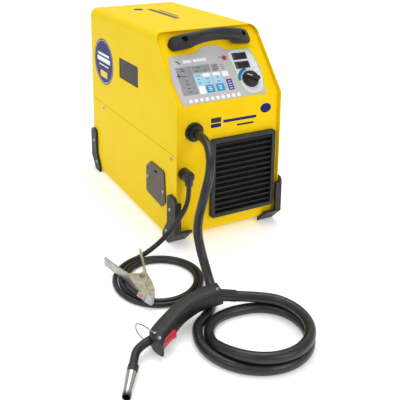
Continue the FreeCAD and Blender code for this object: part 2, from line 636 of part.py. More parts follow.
switch_parts = [
    slope_rod("selector_can", "16", "18", "knob_x", "knob_up", "-sheet_wall - 18"),
    slope_rod("selector_bush", "5 - running_gap", "sheet_wall + overlay_wall", "knob_x", "knob_up",
        "-sheet_wall"),
    slope_rod("selector_spindle", "spindle_radius", "knob_tall - 5 + " + KNOB_BASE, "knob_x", "knob_up",
        "0"),
]
PIVOT_OUT = "(-2)"
for n, name in enumerate(("power_rocker", "range_rocker")):
    level = "rocker_up - %d * rocker_step" % n
    shell = slope_box("rocker_shell_%d" % n, "rocker_width + 5 - 0.1", "rocker_tall + 4 - 0.1",
        "16 + overlay_wall", "rocker_x", level, "-16")
    bezel = slope_box("rocker_bezel_%d" % n, "rocker_width + 8", "rocker_tall + 6", "1.3", "rocker_x",
        level, "overlay_wall")
    well = slope_box("rocker_well_%d" % n, "rocker_width + 3", "rocker_tall + 1", "30", "rocker_x",
        level, "-12")
    axle_bore = slope_bar("rocker_axle_bore_%d" % n, "1.25", "rocker_tall + 3", "rocker_x",
        level + " - rocker_tall / 2 - 1.5", PIVOT_OUT)
    switch_parts.append(cut("rocker_case_%d" % n, fuse("rocker_case_blank_%d" % n, shell, bezel), well,
        axle_bore))
    paddle = plate(
        name + "_paddle", "XZ",
        (
            ("-rocker_width / 2 + 0.2", "2.2"), ("-rocker_width / 2 + 0.5", "-4.5"), ("-4", "-7"),
                ("4", "-7"),
            ("rocker_width / 2 - 0.5", "-2"), ("rocker_width / 2 - 0.2", "4.8"), ("0", "1.4"),
        ),
        "-rocker_tall / 2", "rocker_tall",
    )
    place(paddle, **on_slope("rocker_x", level, "0"))
    axle = slope_bar(name + "_axle", "1.2", "rocker_tall + 2", "rocker_x",
        level + " - rocker_tall / 2 - 1", PIVOT_OUT)
    node(fuse(name, paddle, axle))
node(fuse("switch_bodies", *switch_parts))
lamp_body = slope_rod("lamp_body", "lamp_radius", "16", LAMP_X, "rocker_up", "-13")
lamp_flange = slope_rod("lamp_flange", "lamp_radius + 1.2", "1", LAMP_X, "rocker_up", "overlay_wall")
node(fuse("warning_lamp", lamp_body, lamp_flange))

# ------------------------------------------------------ front grille and the two outlets below the slope
GRILLE_LEFT = "grille_middle - grille_width / 2"
GRILLE_LOW = "grille_level - grille_tall / 2"
grille_block = box("grille_block", "grille_width", "grille_depth", "grille_tall", GRILLE_LEFT,
    PANEL + " - grille_depth", GRILLE_LOW)
grille_frame = rounded("grille_frame", grille_block, 5, lambda e: runs_along(e, "y"))
spigot = box("grille_spigot", "grille_width - 12.2", "4", "grille_tall - 12.2", GRILLE_LEFT + " + 6.1",
    PANEL, GRILLE_LOW + " + 6.1")
grille_mouth = box("grille_mouth", "grille_width - 16", "grille_depth + 10", "grille_tall - 16",
                   GRILLE_LEFT + " + 8", PANEL + " - grille_depth - 2", GRILLE_LOW + " + 8")
grille_open = cut("grille_open", fuse("grille_blank", grille_frame, spigot), grille_mouth)
SLATS = 13
slats = [
    box("slat_%d" % n, "grille_width - 15", "12", "2.4", GRILLE_LEFT + " + 7.5", PANEL + " - 7.5",
        GRILLE_LOW + " + 15.5 + %d * slat_pitch" % n, (1, 0, 0), "-42")
    for n in range(SLATS)
]
node(fuse("front_grille", grille_open, *slats))

gland_flange = rod("gland_flange", "19", "5", "gland_x", PANEL, "gland_level", "-Y")
gland_collar = rod("gland_collar", "14", "13", "gland_x", PANEL, "gland_level", "-Y")
gland_stem = rod("gland_stem", GLAND_NECK, "5 * sheet_wall", "gland_x", PANEL, "gland_level", "Y")
gland_seat = rod("gland_seat", "hose_radius + running_gap", "30", "gland_x", PANEL + " - 5",
    "gland_level", "-Y")
node(cut("torch_gland", fuse("gland_blank", gland_flange, gland_collar, gland_stem), gland_seat))

boot_stem = rod("boot_stem", BOOT_NECK, "6", "boot_x", PANEL, "boot_level", "Y")
boot_head = rod("boot_head", "12", "20", "boot_x", PANEL, "boot_level", "-Y")
boot_ball = doc.addObject("Part::Sphere", "boot_ball")
bind(boot_ball, Radius="12")
place(boot_ball, "boot_x", PANEL + " - 20", "boot_level")
BOOT_DROP = "16"
boot_tail = rod("boot_tail", "8", BOOT_DROP, "boot_x", PANEL + " - 22", "boot_level - " + BOOT_DROP)
boot_seat = rod("boot_seat", "cable_radius + running_gap", "6", "boot_x", PANEL + " - 22",
    "boot_level - %s - 2" % BOOT_DROP)
node(cut("earth_boot", fuse("boot_blank", boot_stem, boot_head, boot_ball, boot_tail), boot_seat))

# ------------------------------------------------------ rear fittings
mains_parts = [
    rod("mains_stem", "8", "12", MAINS_X, REAR + " - 9", MAINS_LEVEL, "Y"),
    rod("mains_dome", "12", "12", MAINS_X, REAR, MAINS_LEVEL, "Y"),
    rod("mains_nut", "12", "5", MAINS_X, REAR + " - sheet_wall - 5", MAINS_LEVEL, "Y"),
]
mains_recess = rod("mains_recess", "5", "10", MAINS_X, REAR + " + 4", MAINS_LEVEL, "Y")
node(cut("mains_gland", fuse("mains_blank", *mains_parts), mains_recess))
gas_parts = [
    rod("gas_stem", "5", "32", GAS_X, REAR + " - 14", GAS_LEVEL, "Y"),
    rod("gas_hex", "8", "6", GAS_X, REAR, GAS_LEVEL, "Y"),
    rod("gas_barb", "6", "4", GAS_X, REAR + " + 12", GAS_LEVEL, "Y"),
]
node(fuse("gas_inlet", *gas_parts))
valve_block = box("valve_block", "26", "36", "30", GAS_X + " - 13", REAR + " - sheet_wall - 36",
    GAS_LEVEL + " - 15")
valve_coil = rod("valve_coil", "11", "30", GAS_X, REAR + " - sheet_wall - 20", GAS_LEVEL + " + 15")
valve_bore = rod("valve_bore", "5 + running_gap", "14", GAS_X, REAR + " - 14.5", GAS_LEVEL, "Y")
node(cut("gas_valve", fuse("valve_blank", valve_block, valve_coil), valve_bore))

# ------------------------------------------------------ centre partition between feeder bay and power bay
DRIVE_LEVEL = "(gland_level - drive_radius)"
partition_sheet = plate(
    "partition_sheet", "YZ",
    (
        (FRONT + " + corner_cut + 2", "sheet_wall"), (REAR + " - corner_cut - 2", "sheet_wall"),
        (REAR + " - 2 * sheet_wall", "corner_cut + 1"),
        (REAR + " - 2 * sheet_wall", "case_height - 20"),
        ("%s + (case_height - 20 - %s) / tan(%s) + 3 * sheet_wall" % (PANEL, BREAK, SLOPE_ANGLE),
        "case_height - 20"),
        (PANEL + " + 2 * sheet_wall", BREAK + " - sheet_wall"),
        (PANEL + " + 2 * sheet_wall", "corner_cut - 4"),
    ),
    "wall_x", "sheet_wall",
)
motor_hole = rod("motor_hole", "6", "20", "wall_x - 10", "feeder_back", DRIVE_LEVEL, "X")
node(cut("partition", partition_sheet, motor_hole))

# ------------------------------------------------------ power parts on the tray, right-hand bay
CORE_X = "-26"
CORE_Y = "70"
core_block = box("core_block", "132", "62", "112", CORE_X, CORE_Y, "sheet_wall")
core_windows = [
    box("core_window_%d" % n, "30", "90", "68", CORE_X + " + 18 + %d * 66" % n, CORE_Y + " - 10",
        "sheet_wall + 22")
    for n in range(2)
]
node(cut("transformer_core", core_block, *core_windows))
coil_block = box("coil_block", "96", "96", "68", CORE_X + " + 18", CORE_Y + " - 17", "sheet_wall + 22")
coil_limb = box("coil_limb", "36", "62", "80", CORE_X + " + 48", CORE_Y, "sheet_wall + 16")
node(cut("transformer_windings", coil_block, coil_limb))
choke_ring = rod("choke_ring", "40", "44", "34", "-30", "sheet_wall")
choke_eye = rod("choke_eye", "15", "60", "34", "-30", "0")
node(cut("output_choke", choke_ring, choke_eye))
sink_parts = [box("sink_back", "7", "104", "84", "wall_x + sheet_wall", "-60", "150")]
sink_parts += [
    box("sink_fin_%d" % n, "26", "3", "84", "wall_x + sheet_wall + 7", "-60 + %.3f" % (n * 101 / 8.0),
        "150") for n in range(9)
]
node(fuse("rectifier", *sink_parts))
BOARD_X = "(wall_x + sheet_wall + 8)"
board_parts = [box("board_sheet", "1.6", "150", "96", BOARD_X, "-70", "262")]
board_parts += [
    rod("board_post_%d" % n, "3", "8", "wall_x + sheet_wall", y, z, "X")
    for n, (y, z) in enumerate((("-62", "270"), ("72", "270"), ("-62", "350"), ("72", "350")))
]
board_parts += [
    box("board_relay", "18", "24", "28", BOARD_X + " + 1.6", "-40", "285"),
    box("board_trafo", "26", "38", "34", BOARD_X + " + 1.6", "5", "300"),
    rod("board_can_1", "9", "22", BOARD_X + " + 1.6", "60", "290", "X"),
    rod("board_can_2", "9", "22", BOARD_X + " + 1.6", "60", "322", "X"),
]
node(fuse("control_board", *board_parts))

FAN_SIDE = "144"
FAN_FACE = "(%s + 4)" % PANEL
fan_block = box("fan_block", FAN_SIDE, "24", FAN_SIDE, "grille_middle - 72", FAN_FACE,
    "grille_level - 72")
fan_well = rod("fan_well", "fan_radius + 3", "20", "grille_middle", FAN_FACE + " - 1", "grille_level",
    "Y")
fan_vents = [
    box("fan_vent_%d" % n, "44", "30", "44", "grille_middle - 22 + %d * 26 - 13" % sx,
        FAN_FACE + " + 10", "grille_level - 22 + %d * 26 - 13" % sz,)
    for n, (sx, sz) in enumerate(((-1, -1), (2, -1), (-1, 2), (2, 2)))
]
fan_shell = cut("fan_shell", fan_block, fan_well, *fan_vents)
fan_motor_can = rod("fan_motor_can", "24", "36", "grille_middle", FAN_FACE + " + 24", "grille_level",
    "Y")
fan_shaft = rod("fan_shaft", "spindle_radius", "30", "grille_middle", FAN_FACE + " + 6", "grille_level",
    "Y")
node(fuse("fan_frame", fan_shell, fan_motor_can, fan_shaft))
fan_parts = [rod("fan_hub", "19", "12", "grille_middle", FAN_FACE + " + 3", "grille_level", "Y")]
BLADES = 5
for n in range(BLADES):
    blade = doc.addObject("Part::Box", "fan_blade_%d" % n)
    bind(blade, Length="28", Width="2", Height="fan_radius - 16")
    spin = Placement(Vector(0, 0, 0), Rotation(Vector(0, 1, 0), 360.0 * n / BLADES))
    pitch = Placement(Vector(0, 0, 14), Rotation(Vector(0, 0, 1), 32))
    seat = spin.multiply(pitch).multiply(Placement(Vector(-14, -1, 0), Rotation()))
    blade.Placement = seat
    for axis, formula, now in (("x", "grille_middle", seat.Base.x),
        ("y", FAN_FACE + " + 9.6", seat.Base.y),
                               ("z", "grille_level", seat.Base.z)):
        blade.setExpression("Placement.Base." + axis, bound("%s + %.6f" % (formula, now)))
    fan_parts.append(blade)
fan_blank = fuse("fan_blank", *fan_parts)
fan_bore = rod("fan_bore", "spindle_radius + running_gap", "30", "grille_middle", FAN_FACE,
    "grille_level", "Y")
node(cut("fan_rotor", fan_blank, fan_bore))

# ------------------------------------------------------ wire spool in the left-hand bay
HUB_FLANGE = "4"
hub_parts = [
    rod("hub_flange", "34", HUB_FLANGE, "wall_x", "spool_back", "spool_level", "-X"),
    rod("hub_barrel", "hub_radius", HUB_FLANGE + " + spool_width + 2 * body_gap", "wall_x",
        "spool_back", "spool_level", "-X"),
]
node(fuse("spool_hub", *hub_parts))
nut_x = "wall_x - %s - spool_width - 2 * body_gap" % HUB_FLANGE
nut_parts = [
    rod("nut_disc", "31", "4", nut_x, "spool_back", "spool_level", "-X"),
    box("nut_wing", "9", "50", "9", nut_x + " - 9", "spool_back - 25", "spool_level - 4.5"),
]
node(fuse("spool_nut", *nut_parts))
SPOOL_X = "wall_x - %s - body_gap" % HUB_FLANGE
spool_parts = [
    rod("spool_flange_in", "spool_radius", "3", SPOOL_X, "spool_back", "spool_level", "-X"),
    rod("spool_flange_out", "spool_radius", "3", SPOOL_X + " - spool_width + 3", "spool_back",
        "spool_level", "-X"),
    rod("spool_barrel", "hub_radius + 10", "spool_width", SPOOL_X, "spool_back", "spool_level", "-X"),
]
spool_bore = rod("spool_bore", "hub_radius + running_gap", "spool_width + 20", "wall_x", "spool_back",
    "spool_level", "-X")
spool_holes = []
for n in range(6):
    turn = math.pi / 3 * n
    spool_holes.append(rod("spool_hole_%d" % n, "9", "spool_width + 20", "wall_x",
                           "spool_back + %.6f * spool_radius" % (0.69 * math.cos(turn)),
                           "spool_level + %.6f * spool_radius" % (0.69 * math.sin(turn)), "-X"))
node(cut("wire_spool", fuse("spool_blank", *spool_parts), spool_bore, *spool_holes))
wound = rod("wound", "spool_radius - 10", "spool_width - 6", SPOOL_X + " - 3", "spool_back",
    "spool_level", "-X")
wound_eye = rod("wound_eye", "hub_radius + 10", "spool_width + 20", "wall_x", "spool_back",
    "spool_level", "-X")
node(cut("wire_winding", wound, wound_eye))

# ------------------------------------------------------ wire feeder
FEED_WALL = "5"
FEED_FACE = "(wall_x - %s)" % FEED_WALL
ROLL_HALF = "6"
ROLL_X = "(gland_x + %s)" % ROLL_HALF
WIRE_SLIT = "0.8"
PRESS_LEVEL = "(gland_level + %s + press_radius)" % WIRE_SLIT
HINGE_Y = "(feeder_back + 36)"
HINGE_Z = "(gland_level + 30)"
feed_parts = [
    box("feed_sheet", FEED_WALL, "124", "92", FEED_FACE, "feeder_back - 58", "gland_level - 46"),
    rod("feed_hinge", "3", "18", FEED_FACE, HINGE_Y, HINGE_Z, "-X"),
    box("feed_guide_stand", "gland_x * -1 + 6 + wall_x - %s" % FEED_WALL, "16", "12", "gland_x - 6",
        "feeder_back + 20", "gland_level - 6"),
    box("feed_lug", "gland_x * -1 + 6 + wall_x - %s" % FEED_WALL, "12", "14", "gland_x - 6",
        "feeder_back - 32", "gland_level - 8"),
]
drive_bore = rod("drive_bore", "4 + running_gap", "20", "wall_x + 6", "feeder_back", DRIVE_LEVEL, "-X")
wire_bore = rod("wire_bore", "1.2", "90", "gland_x", "feeder_back - 45", "gland_level", "Y")
node(cut("feeder_plate", fuse("feed_blank", *feed_parts), drive_bore, wire_bore))
motor_can = rod("motor_can", "21", "62", "wall_x + sheet_wall", "feeder_back", DRIVE_LEVEL, "X")
motor_bore = rod("motor_bore", "4 + running_gap", "22", "wall_x", "feeder_back", DRIVE_LEVEL, "X")
node(cut("feed_motor", motor_can, motor_bore))
roll = rod("roll", "drive_radius", "2 * " + ROLL_HALF, ROLL_X, "feeder_back", DRIVE_LEVEL, "-X")
roll_shaft = rod("roll_shaft", "4", "gland_x * -1 + 12 + wall_x + 18", "wall_x + 18", "feeder_back",
    DRIVE_LEVEL, "-X")
node(fuse("drive_roller", roll, roll_shaft))
ARM_X = "(gland_x + %s + 2)" % ROLL_HALF
arm_parts = [
    box("arm_bar", "7", "82", "9", ARM_X, "feeder_back - 38", "gland_level + 25.5"),
    box("arm_drop", "7", "13", "24", ARM_X, "feeder_back - 6.5", "gland_level + 5"),
    rod("arm_pin", "3", "2 * %s + 6" % ROLL_HALF, ARM_X, "feeder_back", PRESS_LEVEL, "-X"),
    box("arm_head", "21", "13", "9", ARM_X + " - 14", "feeder_back - 38", "gland_level + 25.5"),
]
arm_bore = rod("arm_bore", "3 + running_gap", "30", ARM_X + " - 5", HINGE_Y, HINGE_Z, "X")
tension_bore = rod("tension_bore", "3 + running_gap", "30", "gland_x", "feeder_back - 31.5",
    "gland_level + 20")
node(cut("pressure_arm", fuse("arm_blank", *arm_parts), arm_bore, tension_bore))
press = rod("press", "press_radius", "2 * " + ROLL_HALF, ROLL_X, "feeder_back", PRESS_LEVEL, "-X")
press_bore = rod("press_bore", "3 + running_gap", "40", "gland_x + 20", "feeder_back", PRESS_LEVEL,
    "-X")
node(cut("pressure_roller", press, press_bore))
tension_parts = [
    rod("tension_stem", "3", "34", "gland_x", "feeder_back - 31.5", "gland_level + 6.4"),
    rod("tension_knob", "8", "16", "gland_x", "feeder_back - 31.5", "gland_level + 34.5"),
]
node(fuse("pressure_screw", *tension_parts))
coupler = rod("coupler", "13", "36", "gland_x", PANEL + " + 5 * sheet_wall", "gland_level", "Y")
coupler_foot = box("coupler_foot", "gland_x * -1 + wall_x - %s" % FEED_WALL, "22", "16", "gland_x",
    PANEL + " + 5 * sheet_wall + 12", "gland_level - 8")
coupler_bore = rod("coupler_bore", "1.2", "60", "gland_x", PANEL + " + 5 * sheet_wall - 5",
    "gland_level", "Y")
node(cut("torch_connector", fuse("coupler_blank", coupler, coupler_foot), coupler_bore))


# ------------------------------------------------------ cords: a tube of straight runs and tangent arcs
def corner_radius(before, corner, after):
    """The largest arc that two runs allow at their corner, and the turn it makes."""
    way_in, way_out = corner - before, after - corner
    turn = way_in.getAngle(way_out)
    return 0.45 * min(way_in.Length, way_out.Length) / math.tan(turn / 2), turn


def route_wire(points):
    dots = [Vector(*p) for p in points]
    edges, last = [], dots[0]
    for before, corner, after in zip(dots, dots[1:], dots[2:]):
        radius, turn = corner_radius(before, corner, after)
        back = radius * math.tan(turn / 2)
        way_in = (corner - before).normalize()
        way_out = (after - corner).normalize()
        start, end = corner - way_in * back, corner + way_out * back
        inward = (way_out - way_in).normalize()
        middle = corner + inward * (radius / math.cos(turn / 2) - radius)
        edges.append(Part.LineSegment(last, start).toShape())
        edges.append(Part.Arc(start, middle, end).toShape())
        last = end
    edges.append(Part.LineSegment(last, dots[-1]).toShape())
    return Part.Wire(edges)


def tube(name, points, radius):
    wire = route_wire(points)
    way = Vector(*points[1]) - Vector(*points[0])
    ring = Part.Wire(Part.makeCircle(radius, Vector(*points[0]), way))
    shape = wire.makePipeShell([ring], True, False, 2)
    expected = math.pi * radius ** 2 * wire.Length
    bends = [corner_radius(*(Vector(*p) for p in trio))[0] for trio in zip(points, points[1:],
        points[2:])]
    print("%s: length %.0f mm, radii %s, volume %.4f of section times length" % (
        name, wire.Length, " ".join("%.0f" % bend for bend in bends), shape.Volume / expected))
    return solid(name, shape)


def oval(centre, half_long, half_short, lean):
    """An upright elliptical post of height 1, its long axis turned by 'lean' degrees."""
    curve = Part.Ellipse(Vector(0, 0, 0), half_long, half_short).toShape()
    post = Part.Face(Part.Wire(curve)).extrude(Vector(0, 0, 1))
    post.Placement = Placement(Vector(*centre), Rotation(Vector(0, 0, 1), lean))
    return post


def oval_ring(centre, middle_long, middle_short, half_wide, tall, lean):
    outer = oval(centre, middle_long + half_wide, middle_short + half_wide, lean)
    inner = oval(centre, middle_long - half_wide, middle_short - half_wide, lean)
    ring = outer.cut(inner)
    face = [f for f in ring.Faces if abs(f.BoundBox.ZLength) < 1e-6 and f.BoundBox.ZMin < centre[2] + 0.5][0]
    return face.extrude(Vector(0, 0, tall))


# ------------------------------------------------------ torch hose
hose = size["hose_radius"]
gland_y = panel_face - 13
HOSE_ROUTE = (
    (size["gland_x"], gland_y, size["gland_level"]), (-78, -259, 225), (-84, -293, 218),
        (-100, -327, 193),
    (-117, -343, 150), (-124, -333, 90), (-120, -344, 49), (-124, -368, 18), (-138, -402, floor + hose),
    (-155, -430, floor + hose),
)
node(tube("torch_hose", HOSE_ROUTE, hose))
COIL_CENTRE = (-137, -523)
COIL_LEAN = -25
COIL_LONG, COIL_SHORT = 79, 70
UPPER_CENTRE = (-133, -526)
UPPER_LONG, UPPER_SHORT = 82, 75
lower_turn = oval_ring((COIL_CENTRE[0], COIL_CENTRE[1], floor), COIL_LONG, COIL_SHORT, 17.5, 2 * hose,
    COIL_LEAN)
upper_turn = oval_ring((UPPER_CENTRE[0], UPPER_CENTRE[1], floor + 2 * hose), UPPER_LONG, UPPER_SHORT,
    hose, 2 * hose, COIL_LEAN)
for start_angle in (84, 120):
    open_side = Part.makeBox(200, 200, 60)
    open_side.Placement = Placement(Vector(UPPER_CENTRE[0], UPPER_CENTRE[1], 0),
        Rotation(Vector(0, 0, 1), start_angle))
    upper_turn = upper_turn.cut(open_side)
node(solid("torch_hose_coil", lower_turn.fuse(upper_turn).removeSplitter()))

# ------------------------------------------------------ torch: lies on its side, nozzle on the floor
TORCH_SPOT = Vector(-152, -447, 30.3)
TORCH_SEAT = Placement(TORCH_SPOT, Rotation(Vector(0, 0, 1),
    207.1).multiply(Rotation(Vector(0, 1, 0), 7.5)))
GRIP_HALF = 14.5
GRIP_OUTLINE = (
    (-7.8, -11.6), (22, -31), (48, -39), (78, -43), (113, -43), (140, -40), (147, -26), (156, -6),
        (150, -3), (143, -8),
    (128, -15), (108, -15), (80, -17.5), (58, -14.5), (34, -7), (7.8, 11.6),
)


def slab(outline, low, high):
    """An outline in the torch's or clamp's own plane, as thick as from low to high."""
    dots = [Vector(x, y, low) for x, y in outline]
    face = Part.Face(Part.makePolygon(dots + dots[:1]))
    return face.extrude(Vector(0, 0, high - low))


def post(x, y, low, high, radius):
    return Part.makeCylinder(radius, high - low, Vector(x, y, low))


TRIGGER_PIVOT = (142, -15)
NECK_ROUTE = ((134, -33, 0), (152, -38.5, 0), (170, -40, 0), (188, -30, 0), (203, -20.6, 0))
NECK_RADIUS = 6.5
gap = size["running_gap"]
neck_wire = route_wire(NECK_ROUTE)
neck_start = Vector(*NECK_ROUTE[0])
neck_way = Vector(*NECK_ROUTE[1]) - neck_start
neck_ring = Part.Wire(Part.makeCircle(NECK_RADIUS, neck_start, neck_way))
neck_shape = neck_wire.makePipeShell([neck_ring], True, False, 2)
trigger_slot = Part.makeBox(43.5, 28, 12.4, Vector(105, -27, -6.2))
sleeve_end = TORCH_SEAT.inverse().multVec(Vector(-123.6, -450.6, 19.6))
sleeve = Part.makeCylinder(9.5, (sleeve_end - Vector(4, 0, 0)).Length, Vector(4, 0, 0),
    sleeve_end - Vector(4, 0, 0))
HALVES = (("torch_handle_upper", 0, GRIP_HALF), ("torch_handle_lower", -GRIP_HALF, 0))
for name, low, high in HALVES:
    half = slab(GRIP_OUTLINE, low, high)
    outer_level = high if high > 0 else low
    rim = [e for e in half.Edges if abs(e.CenterOfMass.z - outer_level) < 0.01 and e.Length > 6]
    half = half.makeFillet(3, rim)
    half = half.cut(sleeve).cut(neck_shape).cut(trigger_slot)
    half = half.cut(post(TRIGGER_PIVOT[0], TRIGGER_PIVOT[1], -9, 9, 2 + gap))
    node(solid(name, half, TORCH_SEAT))
node(solid("torch_sleeve", sleeve, TORCH_SEAT))
trigger_outline = (
    (109, -20), (109, -9), (112.5, -7.5), (118, -9.5), (126, -10.5), (134, -10), (139, -10.5),
        (145, -12.5),
    (145.5, -17), (140, -19),
)
trigger = slab(trigger_outline, -5.7, 5.7).fuse(post(TRIGGER_PIVOT[0], TRIGGER_PIVOT[1], -8.6, 8.6, 2))
node(solid("torch_trigger", trigger.removeSplitter(), TORCH_SEAT))
HOOK_OUT = GRIP_HALF + 1.3
HOOK_ROUTE = (
    (140, -26, HOOK_OUT), (136, -50, HOOK_OUT), (133, -70, 9), (133, -70, -9), (136, -50, -HOOK_OUT),
        (140, -26, -HOOK_OUT),
)
hook_wire = route_wire(HOOK_ROUTE)
hook_ring = Part.Wire(Part.makeCircle(1, Vector(*HOOK_ROUTE[0]),
    Vector(*HOOK_ROUTE[1]) - Vector(*HOOK_ROUTE[0])))
hook = hook_wire.makePipeShell([hook_ring], True, False, 2)
hook = hook.fuse([post(140, -26, GRIP_HALF, HOOK_OUT + 1.4, 2.2),
    post(140, -26, -HOOK_OUT - 1.4, -GRIP_HALF, 2.2)])
node(solid("torch_hook", hook, TORCH_SEAT))
nozzle_start = Vector(203, -20.6, 0)
nozzle_way = (Vector(241, 0, 0) - nozzle_start).normalize()
NOZZLE_LONG = 43
collar = Part.makeCylinder(8.2, 14, nozzle_start - nozzle_way * 10, nozzle_way)
collar = collar.cut(Part.makeCylinder(NECK_RADIUS, 10, nozzle_start - nozzle_way * 10, nozzle_way))
neck_whole = neck_shape.fuse([collar, Part.makeCylinder(3, 36, nozzle_start, nozzle_way)])
node(solid("torch_neck", neck_whole.removeSplitter(), TORCH_SEAT))
nozzle_seat = nozzle_start + nozzle_way * 4
nozzle = Part.makeCone(8.8, 6.2, NOZZLE_LONG - 4, nozzle_seat, nozzle_way)
nozzle = nozzle.cut(Part.makeCone(7.4, 4.9, NOZZLE_LONG - 4, nozzle_seat, nozzle_way))
nozzle_web = Part.makeCylinder(7.6, 3, nozzle_seat, nozzle_way).cut(Part.makeCylinder(3 + gap, 3,
    nozzle_seat, nozzle_way))
node(solid("gas_nozzle", nozzle.fuse(nozzle_web).removeSplitter(), TORCH_SEAT))

# ------------------------------------------------------ earth cable
cable = size["cable_radius"]
boot_y = panel_face - 22
EARTH_ROUTE = (
    (size["boot_x"], boot_y, size["boot_level"] - 14), (-100, -245, 108), (-105.5, -247, 86),
        (-121, -248, 64),
    (-143, -253, 46), (-162, -247, 24), (-180, -241, 8), (-202, -239, -2),
)
node(tube("earth_cable", EARTH_ROUTE, cable))
RING_CENTRE = (-201, -318)
ring_coil = Part.makeCylinder(83, 2 * cable, Vector(RING_CENTRE[0], RING_CENTRE[1], floor))
ring_coil = ring_coil.cut(Part.makeCylinder(54, 2 * cable,
    Vector(RING_CENTRE[0], RING_CENTRE[1], floor)))
node(solid("earth_cable_coil", ring_coil))

# ------------------------------------------------------ earth clamp: on its side across the ring
CLAMP_LOW = floor + 2 * cable + 0.5
CLAMP_SEAT = Placement(Vector(-238, -329, CLAMP_LOW), Rotation(Vector(0, 0, 1), -4.6))
CLAMP_TALL = 16
STEEL = 1.5


def channel(outside, cheek, low, high):
    """A stamped arm: a strip on edge, and two cheeks that carry the pivot pin."""
    strip = slab(outside, low, high)
    lower = slab(cheek, low, low + STEEL)
    upper = slab(cheek, high - STEEL, high)
    bore = post(0, 0, low - 1, high + 1, 3 + gap)
    return strip.fuse([lower, upper]).removeSplitter().cut(bore)


fixed_strip = (
    (-5, -63), (-8, -62), (-17, -42), (-21, -15), (-22, 12), (-45, 82), (-42, 84), (-19, 13),
        (-19, -15), (-15, -40), (-5, -58),
)
fixed_cheek = ((-6, -57), (-16, -40), (-20, -15), (-20.5, 14), (-30, 44), (-19, 17), (7, 8), (8, -6),
    (-2, -24), (-5.2, -40))
fixed_arm = channel(fixed_strip, fixed_cheek, 0, CLAMP_TALL)
lug = Part.makeCylinder(5.6, 16, Vector(-18, -35, 7),
    Vector(0.47, -0.88, 0)).cut(slab(fixed_cheek, -1, 20))
fixed_arm = fixed_arm.fuse(lug.cut(slab(fixed_strip, -1, 20))).removeSplitter()
node(solid("clamp_fixed_arm", fixed_arm, CLAMP_SEAT))
inner_low, inner_high = STEEL + 0.4, CLAMP_TALL - STEEL - 0.4
moving_strip = (
    (-4.6, -63), (-2, -62.5), (8, -42), (12, -15), (13, 12), (30, 90), (27, 92), (10.5, 13), (9.5, -15),
        (6, -40), (-4.6, -58),
)
moving_cheek = ((-4, -57), (7, -40), (11, -15), (12, 14), (17, 42), (9, 18), (-8, 8), (-9, -6),
    (-1, -24), (-4.4, -40))
node(solid("clamp_moving_arm", channel(moving_strip, moving_cheek, inner_low, inner_high), CLAMP_SEAT))
pin = post(0, 0, -0.5, CLAMP_TALL + 1, 3).fuse([post(0, 0, -0.5, 0, 5),
    post(0, 0, CLAMP_TALL, CLAMP_TALL + 1.5, 5)])
spring_low, spring_high = inner_low + STEEL + 0.6, inner_high - STEEL - 0.6
spring = post(0, 0, spring_low, spring_high, 6.5)
spring_leg = Part.makeBox(1.6, 16, 1.6, Vector(-6.5, -1, spring_low + 2))
spring_leg.rotate(Vector(0, 0, 0), Vector(0, 0, 1), 38)
node(solid("clamp_pivot", pin.fuse([spring, spring_leg]).removeSplitter(), CLAMP_SEAT))

# ------------------------------------------------------ checks and export
doc.recompute()
for thing in doc.Objects:
    bad = [word for word in ("Invalid", "Error") if word in thing.State]
    if bad:
        raise SystemExit("%s: %s" % (thing.Name, ", ".join(bad)))
os.makedirs("parts", exist_ok=True)
for name, thing in nodes.items():
    shape = thing.Shape
    if shape.isNull() or not shape.isValid() or not shape.Solids:
        raise SystemExit(name + ": no valid solid")
    box_now = shape.BoundBox
    print("%-24s %d solid(s) %9.1f mm3  x %7.1f %7.1f  y %7.1f %7.1f  z %7.1f %7.1f" % (
        name, len(shape.Solids), shape.Volume, box_now.XMin, box_now.XMax, box_now.YMin, box_now.YMax,
        box_now.ZMin, box_now.ZMax))
    shape.exportStep("parts/%s.step" % name)
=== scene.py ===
"""Looks of a wire-feed welding machine: case, control face, feeder bay, torch and earth clamp."""
import bpy
import bmesh
import math
from mathutils import Matrix, Vector


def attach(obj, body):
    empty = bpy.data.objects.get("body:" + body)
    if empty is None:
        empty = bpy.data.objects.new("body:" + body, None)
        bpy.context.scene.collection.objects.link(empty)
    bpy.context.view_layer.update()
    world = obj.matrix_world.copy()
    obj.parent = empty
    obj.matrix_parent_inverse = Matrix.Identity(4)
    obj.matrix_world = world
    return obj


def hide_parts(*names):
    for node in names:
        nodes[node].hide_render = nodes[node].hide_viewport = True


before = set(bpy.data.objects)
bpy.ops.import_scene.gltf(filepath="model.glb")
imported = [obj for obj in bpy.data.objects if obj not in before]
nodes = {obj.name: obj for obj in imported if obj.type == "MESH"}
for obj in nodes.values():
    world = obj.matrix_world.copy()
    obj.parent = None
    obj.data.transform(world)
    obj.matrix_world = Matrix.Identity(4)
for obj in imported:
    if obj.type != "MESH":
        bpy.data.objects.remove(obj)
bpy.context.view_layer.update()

# ---- Case: tray, panels and hinged cover
# Folded 1.5 mm steel sheet, degreased and powder coated in a warm yellow, then baked.
# The panels are joined by folded lips and screws. The coat has a faint orange peel.


def linear(code):
    """A colour written as a hex code, in the linear values that a shader takes."""
    parts = [int(code[n:n + 2], 16) / 255 for n in (0, 2, 4)]
    return [*(p / 12.92 if p <= 0.04045 else ((p + 0.055) / 1.055) ** 2.4 for p in parts), 1.0]


def add_node(tree, kind, inputs=None, **settings):
    """One node of a shader or geometry tree. An input takes a value or another node's output."""
    made = tree.nodes.new(kind)
    for name, value in settings.items():
        setattr(made, name, value)
    for name, value in (inputs or {}).items():
        if isinstance(value, bpy.types.NodeSocket):
            tree.links.new(value, made.inputs[name])
        else:
            made.inputs[name].default_value = value
    return made


